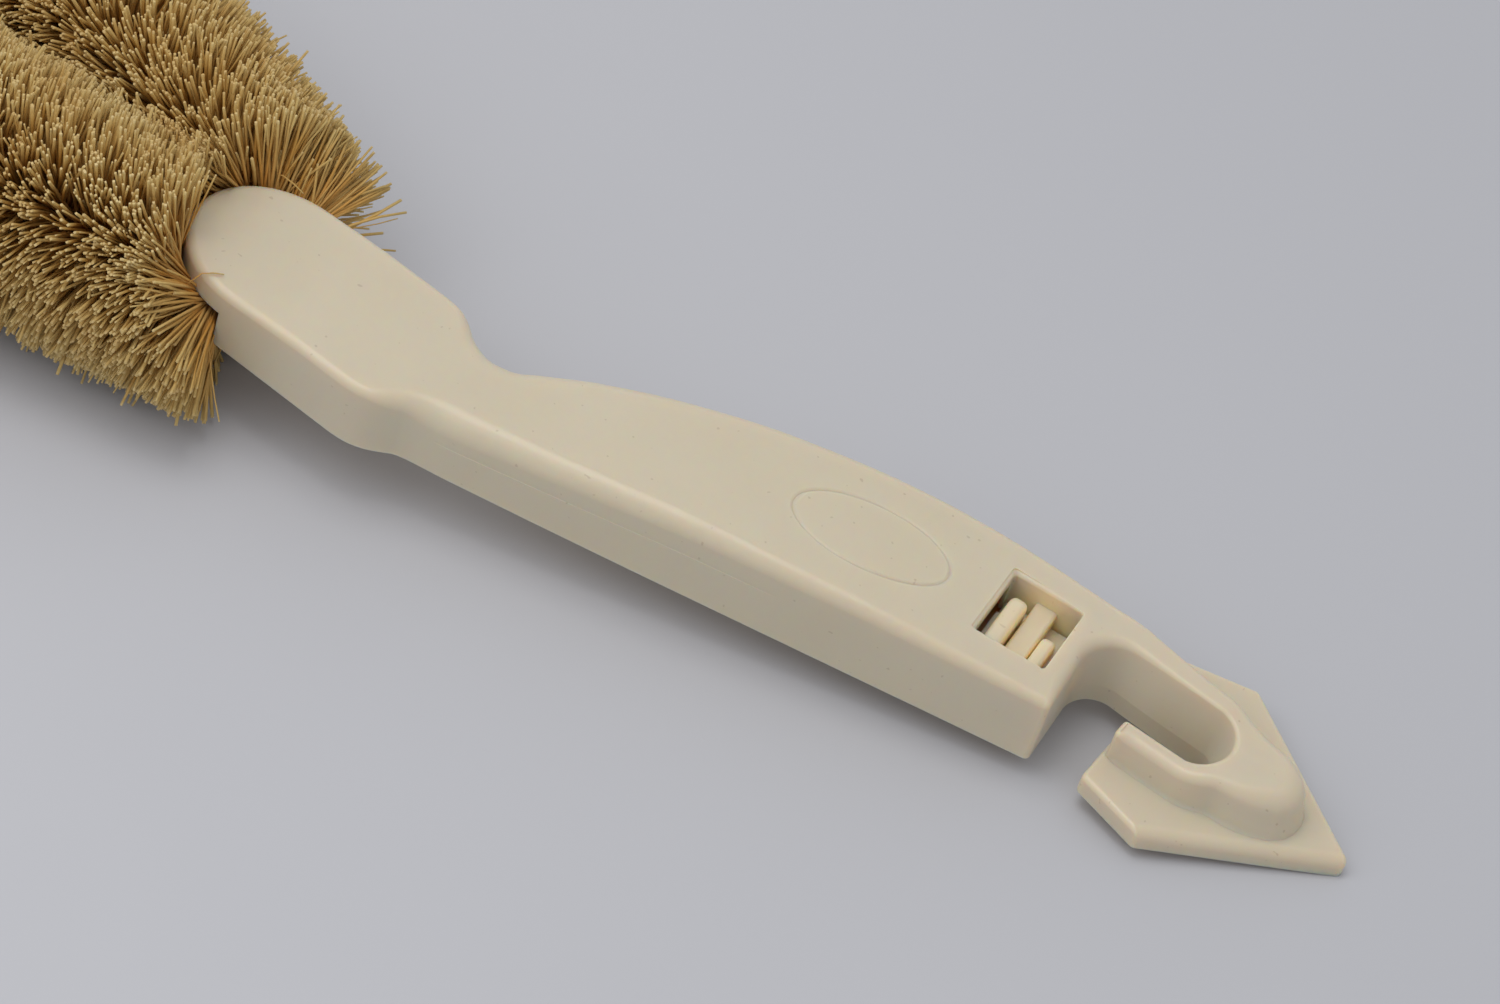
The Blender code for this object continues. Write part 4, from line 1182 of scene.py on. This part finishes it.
def fibre_points(stem, distance, turn, chance, to_world):
    """The places along one fibre in the stem frame, or none where it can't grow."""
    root, along, side = stem.at(distance)
    inside = distance - STEM_INSIDE
    inside = min(inside, stem.length - STEM_INSIDE - inside - STEM_INSIDE)
    forward = 1 if distance < stem.length / 2 else -1
    out = side * math.cos(turn) + UP * math.sin(turn)
    around = out.cross(along)
    patch = shared_noise(PATCH_NOISE, distance, turn)
    tuft = shared_noise(TUFT_NOISE, distance, turn)
    lean = tilt(LEAN, chance, patch.x, tuft.x)
    upward = smooth_share(math.sin(turn) * UPPER_GAIN)
    lean += forward * UPPER_LEAN * upward * math.exp(-inside / UPPER_REACH)
    lean -= forward * chance.uniform(*LOWER_LEANS) * (1 - upward) * math.exp(-inside / LOWER_REACH)
    swing = tilt(SWING, chance, patch.y, tuft.y)
    direction = (out + along * lean + around * swing).normalized()
    length = stem.reach(distance) - abs(chance.gauss(0, CUT_SPREAD)) + patch.z * PATCH_CUT
    if chance.random() < SHORT_CHANCE:
        length *= chance.uniform(*SHORT_SHARES)
    if chance.random() < LONG_CHANCE + BOX_LONG_CHANCE * math.exp(-inside / BOX_LONG_REACH):
        length += chance.uniform(*LONG_MM) * MM
    bow = (along * chance.gauss(0, 1) + around * chance.gauss(0, 1)) * BOW_MM * MM
    bow += (along * patch.z + around * tuft.z) * PATCH_BOW_MM * MM
    margin = chance.uniform(*MIDDLE_MM) * MM
    places = []
    for share in even_steps(0, 1, FIBRE_STEPS):
        place = root + direction * length * share + bow * share * (1 - share) * 2
        keep_apart(place, root, math.copysign(1.0, direction.z), margin)
        places.append(place)
    top = stem.reach(distance) + STEM_HEIGHT + TOP_ROOM
    return places if settle(places, top, to_world) else []


def stray_fibres(index):
    """The loose fibres of the first or the last slice, over the hood's rim and beside the handle."""
    lines = {
        0: (((5.8, 10.6, 4.6), (5.0, 10.3, 6.9), (4.0, 9.7, 8.9), (3.0, 8.9, 9.25), (2.0, 8.0, 9.2)),
            ((2.4, 9.0, 1.8), (0.2, 11.0, 0.8), (-2.4, 13.2, -0.4), (-5.0, 15.3, -1.4), (-7.5, 17.2, -2.0))),
        SLICES - 1: (
            ((11.0, -8.6, 5.5), (9.3, -9.3, 8.2), (7.6, -9.3, 9.2), (5.8, -9.2, 9.3), (4.1, -9.0, 9.2)),
            ((2.6, -9.8, 2.8), (0.9, -12.8, 2.6), (-0.6, -15.4, 2.3), (-1.8, -18.0, 2.1), (-2.8, -20.6, 2.0)),
        ),
    }
    made = [[Vector(point) * MM for point in line] for line in lines.get(index, ())]
    return [(places, FIBRE_THICKNESS * STRAY_THICKNESS, STRAY_TONE) for places in made]


def fibre_curve(name, fibres, to_world):
    """A curve object with one square-sided strand for each fibre."""
    curve = bpy.data.curves.new(name, "CURVE")
    curve.dimensions = "3D"
    curve.bevel_depth = 1.0
    curve.bevel_resolution = 0
    curve.resolution_u = 1
    for places, thickness, _ in fibres:
        spline = curve.splines.new("POLY")
        spline.points.add(len(places) - 1)
        flat = []
        for place in places:
            flat += [*(to_world @ place), 1.0]
        spline.points.foreach_set("co", flat)
        shares = even_steps(0, 1, len(places) - 1)
        radii = [thickness / 2 * (ROOT_THICKNESS - TIP_LOSS * share) for share in shares]
        spline.points.foreach_set("radius", radii)
    return add_object(name, curve)


def fibre_mesh(name, fibres, to_world):
    """One mesh of closed fibres. Its attributes are each fibre's own tone and the share from root to tip."""
    holder = fibre_curve(name, fibres, to_world)
    mesh = settled_mesh(holder)
    bpy.data.objects.remove(holder, do_unlink=True)
    shares = []
    tones = []
    for places, _, tone in fibres:
        for share in even_steps(0, 1, len(places) - 1):
            shares += [share] * FIBRE_SIDES
            tones += [tone] * FIBRE_SIDES
    for title, values in (("root_to_tip", shares), ("tone", tones)):
        attribute = mesh.attributes.new(title, "FLOAT", "POINT")
        attribute.data.foreach_set("value", values)
    mesh.shade_smooth()
    shape = bmesh.new()
    shape.from_mesh(mesh)
    for cap in bmesh.ops.holes_fill(shape, edges=shape.edges, sides=FIBRE_SIDES)["faces"]:
        cap.smooth = False
    shape.to_mesh(mesh)
    shape.free()
    mesh.name = name
    return mesh


def build_fibres(material):
    chance = random.Random(SEED)
    noise.seed_set(SEED)
    stem = Stem()
    to_world = handle_to_world() @ head_matrix()
    start = STEM_INSIDE + BRISTLE_START
    span = (stem.length - 2 * start) / SLICES
    count = FIBRES_PER_SLICE
    for index in range(SLICES):
        fibres = []
        tries = 0
        while len(fibres) < count and tries < count * MOST_TRIES:
            tries += 1
            distance = start + span * (index + chance.random())
            arm = chance.randrange(2) * math.pi
            turn = 2 * math.pi * distance / TWIST_PITCH + arm + chance.gauss(0, TURN_SPREAD)
            places = fibre_points(stem, distance, turn, chance, to_world)
            if places:
                thickness = FIBRE_THICKNESS * chance.uniform(*THICKNESS_SHARES)
                fibres.append((places, thickness, chance.random()))
        fibres += stray_fibres(index)
        name = f"palm_fibres_{index + 1:02d}"
        mesh = fibre_mesh(name, fibres, to_world)
        mesh.materials.append(material)
        item = add_object(name, mesh)
        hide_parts(f"palm_bristles_{index + 1:02d}")
        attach(item, "root")


# Materials

def start_material(name):
    material = bpy.data.materials.new(name)
    material.use_nodes = True
    return material, material.node_tree, material.node_tree.nodes["Principled BSDF"]


def add_node(tree, kind, inputs=None, **settings):
    """A node with its settings. Each input, by name or by number, is given as a value or as a socket."""
    made = tree.nodes.new(kind)
    for key, value in settings.items():
        setattr(made, key, value)
    fill_inputs(tree, made.inputs, inputs or {})
    return made


def fill_inputs(tree, sockets, values):
    for title, value in values.items():
        if isinstance(value, bpy.types.NodeSocket):
            tree.links.new(value, sockets[title])
        else:
            sockets[title].default_value = value


def object_place(tree):
    return add_node(tree, "ShaderNodeTexCoord").outputs["Object"]


def noise_node(tree, vector, scale, detail, roughness):
    inputs = {"Vector": vector, "Scale": scale, "Detail": detail, "Roughness": roughness}
    return add_node(tree, "ShaderNodeTexNoise", inputs).outputs["Fac"]


def remap(tree, value, low, high, least, most):
    inputs = {"Value": value, "From Min": low, "From Max": high, "To Min": least, "To Max": most}
    return add_node(tree, "ShaderNodeMapRange", inputs, clamp=True).outputs["Result"]


def mask(tree, place, kind):
    settings, spread = kind
    return remap(tree, noise_node(tree, place, *settings), *spread)


def mix_colour(tree, share, first, second):
    made = add_node(tree, "ShaderNodeMix", data_type="RGBA")
    sockets = {entry.identifier: entry for entry in made.inputs}
    fill_inputs(tree, sockets, {"Factor_Float": share, "A_Color": first, "B_Color": second})
    return next(entry for entry in made.outputs if entry.identifier == "Result_Color")


def calculate(tree, operation, *values):
    return add_node(tree, "ShaderNodeMath", dict(enumerate(values)), operation=operation).outputs[0]


def compare(tree, operation, first, second):
    """The distance or the dot product of two vectors."""
    return add_node(tree, "ShaderNodeVectorMath", {0: first, 1: second}, operation=operation).outputs["Value"]


def bump_normal(tree, height, strength, distance):
    inputs = {"Height": height, "Strength": strength, "Distance": distance}
    return add_node(tree, "ShaderNodeBump", inputs).outputs["Normal"]


def facing(tree, way):
    """How far a face looks one way."""
    return compare(tree, "DOT_PRODUCT", add_node(tree, "ShaderNodeNewGeometry").outputs["Normal"], way)


def painted_window_glow(tree, place):
    """How deep a place lies in the latch window: the share of painted glow there, standing in for warm light
    that came through the walls.
    """
    middle = handle_to_world() @ window_matrix() @ Vector((0, 0, window_top() - PAINTED_GLOW_DEPTH))
    near = remap(tree, compare(tree, "DISTANCE", place, middle), *PAINTED_GLOW_REACH)
    return calculate(tree, "MULTIPLY", near, remap(tree, facing(tree, UP), *PAINTED_GLOW_UPRIGHT_SPREAD))


def new_group(name, inputs, outputs):
    group = bpy.data.node_groups.new(name, "ShaderNodeTree")
    for title, kind, value in inputs:
        socket = group.interface.new_socket(title, in_out="INPUT", socket_type=kind)
        socket.default_value = value
    for title, kind in outputs:
        group.interface.new_socket(title, in_out="OUTPUT", socket_type=kind)
    return group, group.nodes.new("NodeGroupInput").outputs, group.nodes.new("NodeGroupOutput").inputs


def moulded_surface_with_painted_light():
    """Cloudy colour, fine grain and light handling marks, as on injection moulded plastic, plus painted
    light: warm bounce on downward faces and a glow deep in the latch window.
    """
    group, given, wanted = new_group(
        "moulded_surface_with_painted_light",
        [("Colour", "NodeSocketColor", CREAM), ("Cloud colour", "NodeSocketColor", CREAM_CLOUD),
         ("Speck colour", "NodeSocketColor", SPECK), ("Roughness", "NodeSocketFloat", 0.4),
         ("Relief", "NodeSocketFloat", 0.1)],
        [("Colour", "NodeSocketColor"), ("Roughness", "NodeSocketFloat"), ("Normal", "NodeSocketVector")],
    )
    place = object_place(group)
    clouded = mix_colour(group, mask(group, place, PLASTIC_CLOUDS), given["Colour"], given["Cloud colour"])
    specked = mix_colour(group, mask(group, place, PLASTIC_SPECKS), clouded, given["Speck colour"])
    # Painted warm bounce light: faces that look downward are mixed towards a warm orange
    painted_bounce_share = remap(group, facing(group, -UP), *PAINTED_BOUNCE_SPREAD)
    painted_bounce_colour = mix_colour(group, painted_bounce_share, specked, PAINTED_BOUNCE_WARMTH)
    height = calculate(group, "MULTIPLY_ADD", noise_node(group, place, *PLASTIC_WAVES), WAVE_SHARE,
                       noise_node(group, place, *PLASTIC_GRAIN))
    # The colour ends with a painted glow deep in the latch window
    fill_inputs(group, wanted, {
        "Colour": mix_colour(group, painted_window_glow(group, place), painted_bounce_colour, PAINTED_WINDOW_GLOW),
        "Roughness": calculate(group, "ADD", given["Roughness"], mask(group, place, HANDLING_MARKS)),
        "Normal": bump_normal(group, height, given["Relief"], PLASTIC_BUMP),
    })
    return group


def plastic(name, surface, colour, cloud, roughness, relief):
    material, tree, shader = start_material(name)
    inputs = {"Colour": colour, "Cloud colour": cloud, "Speck colour": SPECK, "Roughness": roughness,
              "Relief": relief}
    finish = add_node(tree, "ShaderNodeGroup", node_tree=surface)
    fill_inputs(tree, finish.inputs, inputs)
    fill_inputs(tree, shader.inputs, {
        "Base Color": finish.outputs["Colour"],
        "Roughness": finish.outputs["Roughness"],
        "Normal": finish.outputs["Normal"],
        "IOR": 1.49,
        "Subsurface Weight": 0.9,
        "Subsurface Scale": 0.0032,
        "Subsurface Radius": (1.0, 0.52, 0.24),
    })
    return material


def palm_fibre():
    """Straw-gold fibres, each with its own tone and pale at the cut, with painted shade: burnt orange deep
    between them, towards the roots.
    """
    material, tree, shader = start_material("palm_fibre")
    along = add_node(tree, "ShaderNodeAttribute", attribute_name="root_to_tip").outputs["Fac"]
    tone = add_node(tree, "ShaderNodeAttribute", attribute_name="tone").outputs["Fac"]
    place = object_place(tree)
    # The ramp darkens towards the roots as painted shade deep between the fibres
    ramp = add_node(tree, "ShaderNodeValToRGB", {"Fac": along})
    steps = ramp.color_ramp.elements
    for step, (position, colour) in zip(steps, (FIBRE_RAMP_WITH_ROOT_SHADE[0], FIBRE_RAMP_WITH_ROOT_SHADE[-1])):
        step.position = position
        step.color = colour
    for position, colour in FIBRE_RAMP_WITH_ROOT_SHADE[1:-1]:
        steps.new(position).color = colour
    warm = mix_colour(tree, mask(tree, place, FIBRE_PATCHES), ramp.outputs["Color"], FIBRE_PATCH)
    straw = mix_colour(tree, remap(tree, tone, *TONE_SPREAD), warm, FIBRE_STRAW)
    fill_inputs(tree, shader.inputs, {
        "Base Color": mix_colour(tree, mask(tree, place, FIBRE_STREAKS), straw, FIBRE_STREAK),
        "Roughness": remap(tree, tone, *FIBRE_ROUGHNESS),
        "Normal": bump_normal(tree, noise_node(tree, place, *FIBRE_GRAIN), 0.5, FIBRE_BUMP),
        "Specular IOR Level": 0.35,
    })
    return material


def galvanised_wire():
    """Zinc-coated wire with dull spangle and a few brownish stains from the fibres."""
    material, tree, shader = start_material("galvanised_wire")
    place = object_place(tree)
    spangle = mask(tree, place, WIRE_SPANGLE)
    zinc = mix_colour(tree, spangle, ZINC, DARK_ZINC)
    fill_inputs(tree, shader.inputs, {
        "Base Color": mix_colour(tree, mask(tree, place, WIRE_STAINS), zinc, STAIN),
        "Roughness": remap(tree, spangle, *WIRE_ROUGHNESS),
        "Metallic": 1.0,
        "Normal": bump_normal(tree, noise_node(tree, place, *WIRE_GRAIN), 0.3, WIRE_BUMP),
    })
    return material


def table_surface():
    material, tree, shader = start_material("table_surface")
    place = object_place(tree)
    colour = mix_colour(tree, mask(tree, place, TABLE_CLOUDS), TABLE, TABLE_CLOUD)
    # Painted shade: the table darkens one way, as the light falls off
    painted_shade = remap(tree, compare(tree, "DOT_PRODUCT", place, PAINTED_SHADE_WAY), *PAINTED_SHADE_SPREAD)
    fill_inputs(tree, shader.inputs, {
        "Base Color": mix_colour(tree, painted_shade, colour, PAINTED_SHADE_TABLE),
        "Roughness": 0.75,
        "Specular IOR Level": 0.2,
    })
    return material


# Stage

def build_stage():
    shape = bmesh.new()
    bmesh.ops.create_grid(shape, x_segments=1, y_segments=1, size=TABLE_HALF)
    floor = new_piece("table_top", shape)
    floor.data.materials.append(table_surface())


def add_lamp(name, place, aim, size, power, colour):
    data = bpy.data.lights.new(name, "AREA")
    data.shape = "DISK"
    data.size = size
    data.energy = power
    data.color = colour
    lamp = add_object(name, data)
    lamp.location = place
    lamp.rotation_euler = (Vector(place) - Vector(aim)).to_track_quat("Z", "Y").to_euler()


def light_the_table():
    world = bpy.data.worlds.new("soft_room")
    world.use_nodes = True
    background = world.node_tree.nodes["Background"]
    background.inputs["Color"].default_value = ROOM_COLOUR
    background.inputs["Strength"].default_value = ROOM_STRENGTH
    bpy.context.scene.world = world
    for lamp in LAMPS:
        add_lamp(*lamp)


def add_camera():
    """The photograph's view, carried from the handle frame to the table's."""
    turn = Matrix((CAMERA_RIGHT, -CAMERA_DOWN, -CAMERA_FORWARD)).transposed().to_4x4()
    turn.translation = CAMERA_PLACE
    data = bpy.data.cameras.new("photo_view")
    data.sensor_width = SENSOR_WIDTH
    data.lens = LENS
    camera = add_object("photo_view", data)
    camera.matrix_world = handle_to_world() @ turn
    bpy.context.scene.camera = camera


def main():
    add_camera()
    surface = moulded_surface_with_painted_light()
    build_body(plastic("cream_plastic", surface, CREAM, CREAM_CLOUD, 0.30, 0.2))
    build_cover(plastic("cover_plastic", surface, PALE, PALE_CLOUD, 0.36, 0.25))
    wire = galvanised_wire()
    for name in ("stem_wire_a", "stem_wire_b"):
        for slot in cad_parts[name].material_slots:
            slot.material = wire
    build_fibres(palm_fibre())
    build_stage()
    light_the_table()
    bpy.context.scene.view_settings.view_transform = "Standard"


main()
